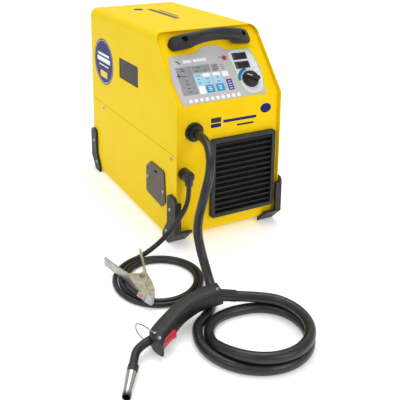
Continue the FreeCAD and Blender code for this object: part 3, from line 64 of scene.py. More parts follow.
def new_finish(name, colour, roughness, metallic=0.0):
    """A finish with its shader, and the place on the piece that its patterns read."""
    finish = bpy.data.materials.new(name)
    finish.use_nodes = True
    finish.diffuse_color = linear(colour)
    tree = finish.node_tree
    shader = tree.nodes["Principled BSDF"]
    shader.inputs["Base Color"].default_value = linear(colour)
    shader.inputs["Roughness"].default_value = roughness
    shader.inputs["Metallic"].default_value = metallic
    place = add_node(tree, "ShaderNodeTexCoord").outputs["Object"]
    return finish, tree, shader, place


def mottle(tree, shader, place, spacing, dark, light, detail=3.0):
    """Two close colours that drift into each other, 'spacing' metres apart."""
    cloud = add_node(tree, "ShaderNodeTexNoise", {"Vector": place, "Scale": 1 / spacing, "Detail": detail})
    spread = add_node(tree, "ShaderNodeMapRange", {"Value": cloud.outputs["Fac"], "From Min": 0.3,
        "From Max": 0.7})
    blend = add_node(tree, "ShaderNodeMix", {"Factor": spread.outputs["Result"]}, data_type="RGBA")
    for socket in blend.inputs:
        if socket.type == "RGBA":
            socket.default_value = linear(dark if socket.name == "A" else light)
    colour = [s for s in blend.outputs if s.type == "RGBA"][0]
    tree.links.new(colour, shader.inputs["Base Color"])


def patchy_gloss(tree, shader, place, spacing, low, high):
    """Roughness that wanders between two values, as handling and dust leave it."""
    cloud = add_node(tree, "ShaderNodeTexNoise", {"Vector": place, "Scale": 1 / spacing, "Detail": 4.0})
    gloss = add_node(tree, "ShaderNodeMapRange", {
        "Value": cloud.outputs["Fac"], "From Min": 0.3, "From Max": 0.7, "To Min": low, "To Max": high})
    tree.links.new(gloss.outputs["Result"], shader.inputs["Roughness"])


def grain(tree, shader, place, spacing, depth, detail=2.0):
    """Fine relief, 'depth' metres deep with bumps 'spacing' metres apart."""
    cloud = add_node(tree, "ShaderNodeTexNoise", {"Vector": place, "Scale": 1 / spacing, "Detail": detail})
    relief = add_node(tree, "ShaderNodeBump", {"Height": cloud.outputs["Fac"], "Distance": depth})
    tree.links.new(relief.outputs["Normal"], shader.inputs["Normal"])


def dress(finish, *names):
    """Give CAD pieces their finish."""
    for name in names:
        nodes[name].data.materials[0] = finish


def powder_coat(name, colour, dark, light):
    """Baked powder: even colour, orange peel about 1.6 mm across, softly patchy gloss."""
    finish, tree, shader, place = new_finish(name, colour, 0.5)
    mottle(tree, shader, place, 0.07, dark, light)
    patchy_gloss(tree, shader, place, 0.03, 0.46, 0.54)
    grain(tree, shader, place, 0.0016, 0.00003)
    shader.inputs["Specular IOR Level"].default_value = 0.1
    return finish


case_coat = powder_coat("powder coat yellow case", "EBCB06", "EAC904", "ECCD08")
# The front and rear panels get a darker, more orange copy of the same yellow coat: painted shade on those
# faces.
shaded_front_coat = powder_coat("powder coat yellow front painted shade", "ECC405", "EBC203", "EDC707")
dress(case_coat, "base_tray", "right_panel", "left_lower_panel", "access_cover")
dress(shaded_front_coat, "front_panel", "rear_panel")

# ---- Pan-head screws of the case
# Zinc-plated steel, cross recess, cold headed. Eight hold the skids, two the seam, two the hatch, and
# two larger ones the carrying handle.
def new_tree(name, sockets):
    """An empty geometry tree with these named inputs, and its input sockets by name."""
    tree = bpy.data.node_groups.new(name, "GeometryNodeTree")
    tree.interface.new_socket("Geometry", in_out="OUTPUT", socket_type="NodeSocketGeometry")
    for label, kind in sockets:
        tree.interface.new_socket(label, in_out="INPUT", socket_type="NodeSocket" + kind)
    return tree, tree.nodes.new("NodeGroupInput").outputs


def end_tree(tree, shape, finish):
    """Every tree ends in real geometry with its material."""
    real = add_node(tree, "GeometryNodeRealizeInstances", {"Geometry": shape})
    dressed = add_node(tree, "GeometryNodeSetMaterial", {"Geometry": real.outputs[0], "Material": finish})
    tree.links.new(dressed.outputs[0], tree.nodes.new("NodeGroupOutput").inputs[0])


def add_piece(name, mesh, body, finish=None):
    """A finished mesh that rides on a body, with its place in its vertices."""
    piece = bpy.data.objects.new(name, mesh)
    bpy.context.scene.collection.objects.link(piece)
    if finish:
        mesh.materials.append(finish)
    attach(piece, body)
    return piece


def grow(name, tree, points, sizes, body):
    """Run a tree on a cloud of points, given in millimetres, and keep the result as a plain mesh."""
    seats = bpy.data.meshes.new(name + "_seats")
    seats.from_pydata([Vector(point) / 1000 for point in points], [], [])
    holder = bpy.data.objects.new(name + "_seats", seats)
    bpy.context.scene.collection.objects.link(holder)
    growth = holder.modifiers.new(name, "NODES")
    growth.node_group = tree
    for item in tree.interface.items_tree:
        if item.name in sizes:
            growth[item.identifier] = sizes[item.name]
    bpy.context.view_layer.update()
    mesh = bpy.data.meshes.new_from_object(holder.evaluated_get(bpy.context.evaluated_depsgraph_get()))
    bpy.data.objects.remove(holder)
    mesh.name = name
    return add_piece(name, mesh, body)


screw_tree, given = new_tree("screw_heads", (("Seats", "Geometry"), ("Radius", "Float"),
    ("Height", "Float"), ("Facing", "Vector"), ("Finish", "Material")))
top_radius = add_node(screw_tree, "ShaderNodeMath", {0: given["Radius"], 1: 0.74},
    operation="MULTIPLY").outputs[0]
pan = add_node(screw_tree, "GeometryNodeMeshCone", {
    "Vertices": 32, "Side Segments": 2, "Radius Top": top_radius, "Radius Bottom": given["Radius"],
    "Depth": given["Height"]})
arm_long = add_node(screw_tree, "ShaderNodeMath", {0: given["Radius"], 1: 1.05},
    operation="MULTIPLY").outputs[0]
arm_slim = add_node(screw_tree, "ShaderNodeMath", {0: given["Radius"], 1: 0.24},
    operation="MULTIPLY").outputs[0]
recess_lift = add_node(screw_tree, "ShaderNodeCombineXYZ", {"Z": given["Height"]}).outputs[0]
carved = add_node(screw_tree, "GeometryNodeMeshBoolean", {"Mesh 1": pan.outputs["Mesh"]},
    operation="DIFFERENCE")
for across, along in ((arm_long, arm_slim), (arm_slim, arm_long)):
    size = add_node(screw_tree, "ShaderNodeCombineXYZ", {"X": across, "Y": along, "Z": given["Height"]})
    bar = add_node(screw_tree, "GeometryNodeMeshCube", {"Size": size.outputs[0]})
    lifted = add_node(screw_tree, "GeometryNodeTransform", {"Geometry": bar.outputs["Mesh"],
        "Translation": recess_lift})
    screw_tree.links.new(lifted.outputs[0], carved.inputs["Mesh 2"])
facing = add_node(screw_tree, "FunctionNodeAlignRotationToVector", {"Vector": given["Facing"]}, axis="Z")
quarter = add_node(screw_tree, "FunctionNodeRandomValue", {"Min": 0.0, "Max": 1.5, "Seed": 7},
    data_type="FLOAT")
drift = [s for s in quarter.outputs if s.type == "VALUE" and s.enabled][0]
twist = add_node(screw_tree, "FunctionNodeAxisAngleToRotation", {"Axis": (0.0, 0.0, 1.0), "Angle": drift})
driven = add_node(screw_tree, "FunctionNodeRotateRotation", {
    "Rotation": facing.outputs[0], "Rotate By": twist.outputs[0]}, rotation_space="LOCAL")
heads = add_node(screw_tree, "GeometryNodeInstanceOnPoints", {
    "Points": given["Seats"], "Instance": carved.outputs["Mesh"], "Rotation": driven.outputs[0]})
end_tree(screw_tree, heads.outputs[0], given["Finish"])

zinc_plate, tree, shader, place = new_finish("zinc plate screws", "A9ABA8", 0.34, 1.0)
mottle(tree, shader, place, 0.004, "9A9B98", "B9BBB7")
grain(tree, shader, place, 0.0006, 0.00001)
SLOPE_OUT = (0.0, -0.7833, 0.6217)
skid_rows = [(y, z) for inward, z in ((16, 68), (32, 15)) for y in (-231 + inward, 231 - inward)]
screw_groups = (
    ("left_skid_screws", [(-126, y, z) for y, z in skid_rows], 3.8, 2.4, (-1, 0, 0)),
    ("right_skid_screws", [(126, y, z) for y, z in skid_rows], 3.8, 2.4, (1, 0, 0)),
    ("seam_screws", [(-120, 154, 171), (-120, -210, 172)], 3.8, 2.4, (-1, 0, 0)),
    ("hatch_screws", [(-123, -107, 96), (-123, -179, 90)], 3.8, 2.4, (-1, 0, 0)),
    ("handle_screws", [(x, -223 + 128 * 0.6217 - 14 * 0.7833, 279.2 + 128 * 0.7833 + 14 * 0.6217)
                       for x in (-68, 68)], 5.2, 4.0, SLOPE_OUT),
)
for number, (name, seats, radius, height, way) in enumerate(screw_groups):
    heads = grow(name, screw_tree, seats, {"Radius": radius / 1000, "Height": height / 1000, "Facing": way,
        "Finish": zinc_plate}, "machine")
    if number == 0:
        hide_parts("case_screws")

# ---- Hinge pin and viewing window
# The cover turns on a drawn steel wire through rolled knuckles. The window is a smoked acrylic sheet
# bonded behind its opening, through which the wire left on the spool can be seen.
drawn_steel, tree, shader, place = new_finish("drawn steel", "8E9092", 0.32, 1.0)
mottle(tree, shader, place, 0.003, "7C7E80", "A0A2A4")
grain(tree, shader, place, 0.0004, 0.000008)
dress(drawn_steel, "cover_hinge_pin")

smoked_acrylic, tree, shader, place = new_finish("smoked acrylic", "171311", 0.07)
mottle(tree, shader, place, 0.04, "120F0D", "2A221D")
patchy_gloss(tree, shader, place, 0.006, 0.05, 0.13)
shader.inputs["Specular IOR Level"].default_value = 0.12
dress(smoked_acrylic, "window_pane")

# ---- Corner skids, front grille and polarity hatch
# Injection-moulded black polypropylene with a spark-eroded skin; the skids wrap the corners and lift
# the tray off the ground. The hatch over the polarity links is a grey-brown moulding with a finger slot.
def moulded(name, colour, dark, light, low=0.46, high=0.6, spacing=0.0007, depth=0.00005):
    """Moulded plastic with a fine spark-eroded skin."""
    finish, tree, shader, place = new_finish(name, colour, high)
    mottle(tree, shader, place, 0.012, dark, light)
    patchy_gloss(tree, shader, place, 0.009, low, high)
    grain(tree, shader, place, spacing, depth, 4.0)
    shader.inputs["Specular IOR Level"].default_value = 0.4
    return finish


black_moulding = moulded("moulded black plastic", "1C1C1E", "171719", "232325")
dress(black_moulding, "front_left_skid", "front_right_skid", "rear_left_skid", "rear_right_skid",
    "front_grille")
hatch_moulding = moulded("moulded hatch plastic", "423C36", "3D3731", "48423C", 0.4, 0.52)
dress(hatch_moulding, "polarity_hatch")

# ---- Carrying handle
# One glass-filled nylon bow across the control face, hollow under the fingers, fat and rounded at its
# two feet, where a screw sits deep in a counterbore.
SLOPE = Matrix((
    (1, 0, 0, 0), (0, 0.6217, -0.7833, -0.223), (0, 0.7833, 0.6217, 0.2792), (0, 0, 0, 1)))


def plain_mesh(name, form):
    """A mesh of the finished form, its faces outwards."""
    bmesh.ops.remove_doubles(form, verts=form.verts, dist=1e-6)
    bmesh.ops.recalc_face_normals(form, faces=form.faces)
    mesh = bpy.data.meshes.new(name)
    form.to_mesh(mesh)
    form.free()
    return mesh


def smooth_over(mesh, degrees):
    """Smooth shading, with an edge kept sharp where its faces turn by more than 'degrees'."""
    form = bmesh.new()
    form.from_mesh(mesh)
    for face in form.faces:
        face.smooth = True
    for edge in form.edges:
        edge.smooth = len(edge.link_faces) == 2 and edge.calc_face_angle(0) < math.radians(degrees)
    form.to_mesh(mesh)
    form.free()


def skin(name, rings, seat):
    """A closed skin over rings of points in millimetres, capped at both ends."""
    form = bmesh.new()
    loops = [[form.verts.new(seat @ (Vector(p) / 1000)) for p in ring] for ring in rings]
    for before, after in zip(loops, loops[1:]):
        for n in range(len(before)):
            form.faces.new((before[n - 1], before[n], after[n], after[n - 1]))
    form.faces.new(loops[0][::-1])
    form.faces.new(loops[-1])
    return plain_mesh(name, form)


def squircle(count, power):
    """Points round a square with rounded corners, from -1 to 1 each way; a higher power is squarer."""
    spots = []
    for n in range(count):
        turn = 2 * math.pi * n / count
        c, s = math.cos(turn), math.sin(turn)
        spots.append((math.copysign(abs(c) ** (2 / power), c), math.copysign(abs(s) ** (2 / power), s)))
    return spots


def finished(holder):
    """The mesh of an object with its modifiers applied; the object goes."""
    bpy.context.view_layer.update()
    mesh = bpy.data.meshes.new_from_object(holder.evaluated_get(bpy.context.evaluated_depsgraph_get()))
    bpy.data.objects.remove(holder)
    return mesh


BOW_RADIUS, ARCH_RADIUS, HANDLE_UP = 140.7, 62.5, 128
rings = []
for n in range(49):
    across = -94 + 188 * n / 48
    end = max(0.0, (abs(across) - 84) / 10)
    tuck = math.sqrt(max(0.0, 1 - end * end * 0.92))
    top = 46 - BOW_RADIUS + math.sqrt(BOW_RADIUS ** 2 - across ** 2)
    inner = ARCH_RADIUS ** 2 - across ** 2
    low = max(0.0, 25 - ARCH_RADIUS + math.sqrt(inner)) if inner > 0 else 0.0
    foot = min(1.0, max(0.0, (abs(across) - 30) / 40))
    half_deep = (12.0 + 3.0 * foot * foot * (3 - 2 * foot)) * tuck
    middle, half_tall = (top + low) / 2, (top - low) / 2 * (0.35 + 0.65 * tuck)
    rings.append([(across, HANDLE_UP + half_deep * a, low + half_tall + half_tall * b)
        for a, b in squircle(32, 2.7)])
handle_mesh = skin("carrying_handle", rings, SLOPE)
drill = bmesh.new()
for across in (-68, 68):
    bmesh.ops.create_cone(drill, cap_ends=True, segments=32, radius1=0.006, radius2=0.006, depth=0.04,
                          matrix=SLOPE @ Matrix.Translation((across / 1000, HANDLE_UP / 1000, 0.034)))
drill_piece = bpy.data.objects.new("drill", plain_mesh("drill", drill))
bpy.context.scene.collection.objects.link(drill_piece)
blank = bpy.data.objects.new("handle_blank", handle_mesh)
bpy.context.scene.collection.objects.link(blank)
bore = blank.modifiers.new("bore", "BOOLEAN")
bore.operation, bore.object, bore.solver = "DIFFERENCE", drill_piece, "EXACT"
handle_mesh = finished(blank)
bpy.data.objects.remove(drill_piece)
smooth_over(handle_mesh, 40)
grip_nylon = moulded("moulded nylon grip", "19191B", "151517", "202022", 0.36, 0.5, 0.0009, 0.00006)
carrying_handle = add_piece("carrying_handle", handle_mesh, "machine", grip_nylon)
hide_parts("carry_handle")

# ---- Control label
# A silver-grey polycarbonate film, reverse printed and glued to the sloping face: setting table on the
# left in greys and blues, switch field on the right inside a green line. The wording is left out.
def slabs(name, outlines, low, high, seat):
    """Flat pieces of one thickness, each cut to an outline of (across, up) millimetres."""
    form = bmesh.new()
    for outline in outlines:
        foot, top = ([form.verts.new(seat @ Vector((x / 1000, y / 1000, level / 1000))) for x, y in outline]
                     for level in (low, high))
        form.faces.new(top)
        form.faces.new(foot[::-1])
        for n in range(len(foot)):
            form.faces.new((foot[n - 1], foot[n], top[n], top[n - 1]))
    return plain_mesh(name, form)


def block(left, low, right, high, corner=0.8):
    """The outline of an upright rectangle with small round corners."""
    spots = []
    for x, y, start in ((right, high, 0), (left, high, 90), (left, low, 180), (right, low, 270)):
        cx = x - math.copysign(corner, x - (left + right) / 2)
        cy = y - math.copysign(corner, y - (low + high) / 2)
        for step in (0, 30, 60, 90):
            turn = math.radians(start + step)
            spots.append((cx + corner * math.cos(turn), cy + corner * math.sin(turn)))
    return spots


def band(path, wide, closed=False):
    """Outlines of a line of one width drawn along a path, one for each stretch."""
    stretches = list(zip(path, path[1:] + path[:1] if closed else path[1:]))
    outlines = []
    for (x0, y0), (x1, y1) in stretches:
        way = Vector((x1 - x0, y1 - y0)).normalized()
        side = Vector((-way.y, way.x)) * wide / 2
        ends = Vector((x0, y0)) - way * wide * 0.12, Vector((x1, y1)) + way * wide * 0.12
        outlines.append([tuple(ends[0] + side), tuple(ends[0] - side), tuple(ends[1] - side),
            tuple(ends[1] + side)])
    return outlines


def arc(centre, radius, start, stop, steps):
    """Points along a part of a circle, in degrees."""
    turns = [math.radians(start + (stop - start) * n / steps) for n in range(steps + 1)]
    return [(centre[0] + radius * math.cos(t), centre[1] + radius * math.sin(t)) for t in turns]


def smooth_path(points, steps=6):
    """A closed path rounded through the middles of its sides."""
    path = []
    for before, at, after in zip(points[-1:] + points[:-1], points, points[1:] + points[:1]):
        start, stop = [(a + b) / 2 for a, b in zip(before, at)], [(a + b) / 2 for a, b in zip(at, after)]
        for n in range(steps):
            t = n / steps
            path.append(tuple((1 - t) ** 2 * s + 2 * t * (1 - t) * c + t * t * e
                for s, c, e in zip(start, at, stop)))
    return path


label_film, tree, shader, place = new_finish("polycarbonate label film", "B6B5B6", 0.4)
mottle(tree, shader, place, 0.04, "B3B2B3", "B9B8B9")
patchy_gloss(tree, shader, place, 0.02, 0.36, 0.42)
grain(tree, shader, place, 0.0009, 0.00001)
dress(label_film, "control_overlay")


def ink(name, colour, roughness=0.3):
    """Screen-printed ink under a satin film."""
    finish, tree, shader, place = new_finish("ink " + name, colour, roughness)
    code = [int(colour[n:n + 2], 16) for n in (0, 2, 4)]
    shader.inputs["Specular IOR Level"].default_value = 0.15
    mottle(tree, shader, place, 0.006, *("%02X%02X%02X" % tuple(min(255, int(c * k)) for c in code)
        for k in (0.95, 1.04)))
    grain(tree, shader, place, 0.0008, 0.000008)
    return finish


def printed(name, outlines, level, seat, finish, body="machine"):
    """A layer of ink a tenth of a millimetre thick."""
    return add_piece(name, slabs(name, outlines, level, level + 0.1, seat), body, finish)


FILM = 0.8
dark_ink, white_ink = ink("dark", "2A2C33"), ink("white", "E9EBEF")
switch_field = [(35, 103), (31, 92), (36, 66), (38, 34), (43, 14), (55, 5), (76, 5), (88, 13), (94, 34),
    (94, 58), (90, 84), (84, 102), (60, 105)]
printed("print_switch_field", [smooth_path(switch_field)], FILM, SLOPE, ink("pale field", "D3D7DE"))
printed("print_green_line", band(smooth_path(switch_field), 1.7, True), FILM + 0.05, SLOPE,
    ink("green line", "A9CF45"))
printed("print_grey_table", [block(-94, 20, -60, 80), block(-59, 64, -18, 80), block(-15, 63, 1, 79)], FILM,
    SLOPE, ink("grey table", "8E9093"))
printed("print_light_blue", [block(left, low, right, low + 7.4, 0.5)
    for left, right, rows in ((-59, -43, (38, 46, 54)), (-40, -23, (38, 46)), (-18, 0, (38, 46)))
    for low in rows], FILM, SLOPE, ink("light blue", "9AD0EC"))
printed("print_mid_blue", [block(-41, 20, -23, 36), block(-18, 20, 0, 36)], FILM, SLOPE,
    ink("mid blue", "2793C6"))
printed("print_navy", [block(8, 19, 21, 43)], FILM, SLOPE, ink("navy", "40458A"))
white_cells = [block(-40, 54.5, -23, 61), block(-18, 54.5, 0, 61), block(4, 50, 18, 61),
    block(-57, 19, -43, 36), block(-73, 87.5, -54, 94), block(-50, 88, -20, 94)]
white_cells += [block(x, 4, x + 7, 11) for x in range(-86, 28, 12)]
printed("print_white_cells", white_cells, FILM, SLOPE, white_ink)
printed("print_knob_scale", band(arc((63, 36), 23.5, 95, 178, 14), 6.5), FILM + 0.1, SLOPE,
    ink("scale blue", "1E8AC4"))

# ---- Rules and marks of the setting table
# Short strokes stand where the table has its figures and headings, and a small arc and cross where it
# has its signs. The real film has its ink on the back. Here the film is opaque, so the ink lies on it.
mark_tree, given = new_tree("print_marks", (
    ("Seats", "Geometry"), ("Long", "Float"), ("Wide", "Float"), ("Thick", "Float"), ("Tilt", "Rotation"),
    ("Finish", "Material")))
spread = add_node(mark_tree, "FunctionNodeRandomValue", {"Min": 0.55, "Max": 1.0, "Seed": 3},
    data_type="FLOAT")
share = [s for s in spread.outputs if s.type == "VALUE" and s.enabled][0]
stroke_size = add_node(mark_tree, "ShaderNodeCombineXYZ", {"X": given["Long"], "Y": given["Wide"],
    "Z": given["Thick"]})
stroke = add_node(mark_tree, "GeometryNodeMeshCube", {"Size": stroke_size.outputs[0]})
scale = add_node(mark_tree, "ShaderNodeCombineXYZ", {"X": share, "Y": 1.0, "Z": 1.0})
strokes = add_node(mark_tree, "GeometryNodeInstanceOnPoints", {"Points": given["Seats"],
    "Instance": stroke.outputs["Mesh"], "Rotation": given["Tilt"], "Scale": scale.outputs[0]})
end_tree(mark_tree, strokes.outputs[0], given["Finish"])
SLOPE_TURN = SLOPE.to_quaternion().to_euler()


def on_slope(spots, out):
    """Points of the control face, (across, up) millimetres, as places in the machine."""
    return [SLOPE @ (Vector((x, y, out)) / 1000) * 1000 for x, y in spots]


dark_spots = [(-80, 75), (-80, 71), (-80, 60), (-77, 50), (-77, 42), (-77, 34), (-77, 26), (-44, 75),
    (-50, 68), (-30, 68), (-7, 74), (-7, 68), (10, 76), (10, 71), (10, 66), (-51, 57.7), (-51, 49.7),
    (-51, 41.7), (-31.5, 49.7), (-31.5, 41.7), (-9, 49.7), (-9, 41.7), (11, 92)]
white_spots = [(x, y) for x in (-32, -9) for y in (31.5, 28, 24.5)] + [(14.5, y) for y in (38, 33, 28, 23)]
for name, spots, finish in (("print_dark_strokes", dark_spots, dark_ink),
        ("print_white_strokes", white_spots, white_ink)):
    grow(name, mark_tree, on_slope(spots, FILM + 0.12), {"Long": 0.0085, "Wide": 0.0013, "Thick": 0.00008,
        "Tilt": SLOPE_TURN, "Finish": finish}, "machine")
arc_mark = band(arc((-90, 84), 9, 15, 80, 8), 2.2)
cross_mark = band([(-91, 67), (-91, 57)], 1.6) + band([(-96, 62), (-86, 62)], 1.6)
printed("print_process_mark", arc_mark + cross_mark, FILM + 0.1, SLOPE, dark_ink)

# ---- Selector knob
# One phenolic moulding pushed on the selector's shaft: a round fluted skirt with a tall finger bar
# across it, whose pointed end carries a filled white line.
knob_seat = SLOPE @ Matrix.Translation((0.063, 0.036, 0)) @ Matrix.Rotation(math.radians(158), 4, "Z")
# radius and height of each ring up the skirt; the steep part has shallow grip flutes
KNOB_PROFILE = (
    (17.2, 1.2), (18, 1.8), (18, 3.6), (17.2, 4.8), (15.8, 5.6), (15.4, 10.2), (14.6, 11.2), (13.0, 11.6))
FLUTE_DEPTH = 0.7
knob_rings = []
for radius, out in KNOB_PROFILE:
    flute = FLUTE_DEPTH if 5 < out < 11 else 0
    ring = []
    for n in range(96):
        turn = math.pi * n / 48
        reach = radius - (flute if n % 4 < 2 else 0)
        ring.append((reach * math.cos(turn), reach * math.sin(turn), out))
    knob_rings.append(ring)
knob_mesh = skin("selector_knob_skirt", knob_rings, knob_seat)
smooth_over(knob_mesh, 28)
phenolic = moulded("moulded phenolic knob", "1A1A1C", "151517", "212123", 0.3, 0.42, 0.0006, 0.00002)
knob_skirt = add_piece("selector_knob_skirt", knob_mesh, "knob", phenolic)
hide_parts("selector_knob")
finger_bar = [(17.5, 0), (14, 3.6), (6, 4.6), (-6, 4.6), (-13, 4.2), (-15.2, 2.4), (-15.2, -2.4),
    (-13, -4.2), (-6, -4.6), (6, -4.6), (14, -3.6)]
bar_rings = [[(x * k, y * k, out) for x, y in finger_bar]
             for k, out in ((1, 5.0), (1, 15.5), (0.97, 17.2), (0.88, 18.2))]
bar_mesh = skin("selector_knob_bar", bar_rings, knob_seat)
add_piece("selector_knob_bar", bar_mesh, "knob", phenolic)
printed("selector_knob_line", [block(3, -0.6, 15, 0.6, 0.3)], 18.2, knob_seat, white_ink, "knob")

# ---- Rocker switches and warning lamp
# Rockers of glossy black moulded nylon, snapped into matt housings that clip into the sheet, and a
# small red acrylic lens over a neon lamp.
gloss_nylon = moulded("gloss nylon rocker", "161618", "131315", "1C1C1E", 0.18, 0.28, 0.002, 0.00001)
dress(gloss_nylon, "power_rocker", "range_rocker")
dress(black_moulding, "switch_bodies")
lamp_lens, tree, shader, place = new_finish("red lens", "B3202A", 0.16)
mottle(tree, shader, place, 0.002, "A51B25", "C42631")
shader.inputs["Coat Weight"].default_value = 0.5
dress(lamp_lens, "warning_lamp")

# ---- Printed marks on the case, and a dark sheet behind the grille
# An oval adhesive disc on the cover's flank and generic stripes where the maker's wording would be;
# polyester film printed in navy with a pale rim. A thin black sheet between grille and fan is painted shade:
# it stands for the dark inside of the case seen through the grille.
FLANK = Matrix(((0, 0, -1, -0.120), (-1, 0, 0, 0), (0, 1, 0, 0), (0, 0, 0, 1)))
FRONT_FACE = Matrix(((1, 0, 0, 0), (0, 0, -1, -0.223), (0, 1, 0, 0), (0, 0, 0, 1)))
TOP_FACE = Matrix(((1, 0, 0, 0), (0, 1, 0, 0), (0, 0, 1, 0.408), (0, 0, 0, 1)))


def oval_outline(centre, half_wide, half_tall, count=64):
    """The outline of an upright oval."""
    turns = [2 * math.pi * n / count for n in range(count)]
    return [(centre[0] + half_wide * math.cos(t), centre[1] + half_tall * math.sin(t)) for t in turns]


navy_film, rim_ink = ink("navy film", "101B60", 0.4), ink("pale rim", "C9D2EA")
disc = (-148, 289)
printed("side_disc", [oval_outline(disc, 62, 56)], 0.05, FLANK, navy_film, "cover")
printed("side_disc_rim", band(oval_outline(disc, 58, 52), 1.6, True), 0.12, FLANK, rim_ink, "cover")
printed("side_disc_bars", [
    block(-186, 303, -112, 309, 2), block(-190, 288, -106, 299, 2), block(-178, 278, -118, 281, 1)],
    0.12, FLANK, white_ink, "cover")
printed("side_disc_yellow_bar", [block(-170, 250, -126, 266, 3)], 0.12, FLANK, ink("yellow bar", "E8C916"),
    "cover")
printed("front_stripe", [block(-40, 226, -17, 234, 1), block(-12, 233, 66, 239, 2)], 0.05, FRONT_FACE,
    navy_film)
printed("front_stripe_dark", [block(-40, 236, -17, 246, 1), block(20, 222, 60, 226, 1.5)], 0.05, FRONT_FACE,
    dark_ink)
printed("front_dot", [oval_outline((88, 250), 13, 10)], 0.05, FRONT_FACE, navy_film)
printed("top_stripe", [block(-6, -8, 6, 146, 2), block(12, 20, 17, 120, 2)], 0.05, TOP_FACE, dark_ink,
    "cover")
printed("top_dot", [oval_outline((-26, 152), 12, 14)], 0.05, TOP_FACE, navy_film, "cover")
# Painted shade: a near-black sheet behind the grille in place of the shadow inside the case.
grille_shade_finish = moulded("grille painted shade", "0E0E10", "0A0A0C", "131315", 0.8, 0.9, 0.0016, 0.0004)
grille_shade_mesh = slabs("grille_shade_sheet", [oval_outline((34, 120), 62.8, 62.8)], -4.8, -4.2, FRONT_FACE)
add_piece("grille_shade_sheet", grille_shade_mesh, "machine", grille_shade_finish)

# ---- Outlets and rear fittings
# The hose leaves through a nylon gland and the earth cable through a soft rubber elbow. At the back are
# the gland for the mains lead and a turned brass spigot for the shielding gas, with its solenoid valve.


def rubber(name, colour, dark, light):
    """Extruded rubber jacket: dusty black, soft sheen, fine relief."""
    finish, tree, shader, place = new_finish(name, colour, 0.34)
    mottle(tree, shader, place, 0.02, dark, light)
    patchy_gloss(tree, shader, place, 0.012, 0.26, 0.4)
    grain(tree, shader, place, 0.0011, 0.00004, 3.0)
    return finish


soft_rubber = rubber("rubber boot", "1D1D1F", "171719", "242426")
dress(soft_rubber, "earth_boot")
dress(black_moulding, "torch_gland", "mains_gland")
turned_brass, tree, shader, place = new_finish("turned brass", "B28B46", 0.3, 1.0)
mottle(tree, shader, place, 0.004, "9C783A", "C59D55")
grain(tree, shader, place, 0.0004, 0.000012)
dress(turned_brass, "gas_inlet", "gas_valve", "torch_connector")
gland_tree, given = new_tree("gland_ribs", (
    ("Seats", "Geometry"), ("Ribs", "Int"), ("Radius", "Float"), ("Long", "Float"), ("Finish", "Material")))
circle = add_node(gland_tree, "GeometryNodeMeshCircle", {"Vertices": given["Ribs"],
    "Radius": given["Radius"]})
rib_size = add_node(gland_tree, "ShaderNodeCombineXYZ", {"X": 0.0016, "Y": 0.0022, "Z": given["Long"]})
rib = add_node(gland_tree, "GeometryNodeMeshCube", {"Size": rib_size.outputs[0]})
rib_way = add_node(gland_tree, "FunctionNodeAlignRotationToVector", {
    "Vector": add_node(gland_tree, "GeometryNodeInputPosition").outputs[0]}, axis="X")
rib_ring = add_node(gland_tree, "GeometryNodeInstanceOnPoints", {
    "Points": circle.outputs["Mesh"], "Instance": rib.outputs["Mesh"], "Rotation": rib_way.outputs[0]})
upright = add_node(gland_tree, "GeometryNodeTransform", {
    "Geometry": rib_ring.outputs[0], "Rotation": (math.pi / 2, 0.0, 0.0)})
glands = add_node(gland_tree, "GeometryNodeInstanceOnPoints", {
    "Points": given["Seats"], "Instance": upright.outputs[0]})
end_tree(gland_tree, glands.outputs[0], given["Finish"])
grow("torch_gland_ribs", gland_tree, [(-78, -231, 225)], {
    "Ribs": 20, "Radius": 0.0140, "Long": 0.008, "Finish": black_moulding}, "machine")
grow("mains_gland_ribs", gland_tree, [(70, 237, 64)], {
    "Ribs": 16, "Radius": 0.0120, "Long": 0.009, "Finish": black_moulding}, "machine")

# ---- Partition, transformer, choke, rectifier, control board and fan
# The power parts stand on the tray behind a galvanised partition: laminated core, copper windings,
# finned aluminium rectifier, a green circuit board and a moulded axial fan behind the grille.
galvanised, tree, shader, place = new_finish("galvanised sheet", "9EA2A3", 0.4, 1.0)
spangle = add_node(tree, "ShaderNodeTexVoronoi", {"Vector": place, "Scale": 110.0})
shade = add_node(tree, "ShaderNodeMapRange", {"Value": spangle.outputs["Color"], "To Min": 0.32,
    "To Max": 0.52})
tree.links.new(shade.outputs[0], shader.inputs["Roughness"])
cloud = add_node(tree, "ShaderNodeTexNoise", {"Vector": place, "Scale": 120.0, "Detail": 3.0})
ramp = add_node(tree, "ShaderNodeValToRGB", {"Fac": cloud.outputs["Fac"]})
ramp.color_ramp.elements[0].color, ramp.color_ramp.elements[1].color = linear("8D9193"), linear("B2B6B7")
tree.links.new(ramp.outputs[0], shader.inputs["Base Color"])
dress(galvanised, "partition", "feeder_plate")


def striped(name, colour, roughness, metallic, axis, pitch, depth, dark, light):
    """Laid turns or stacked sheets: fine parallel ridges, 'pitch' metres apart."""
    finish, tree, shader, place = new_finish(name, colour, roughness, metallic)
    mottle(tree, shader, place, 0.006, dark, light)
    ridges = add_node(tree, "ShaderNodeTexWave", {"Vector": place, "Scale": 0.314 / pitch, "Distortion": 0.4},
                      wave_type="BANDS", bands_direction=axis)
    relief = add_node(tree, "ShaderNodeBump", {"Height": ridges.outputs["Fac"], "Distance": depth})
    tree.links.new(relief.outputs["Normal"], shader.inputs["Normal"])
    return finish


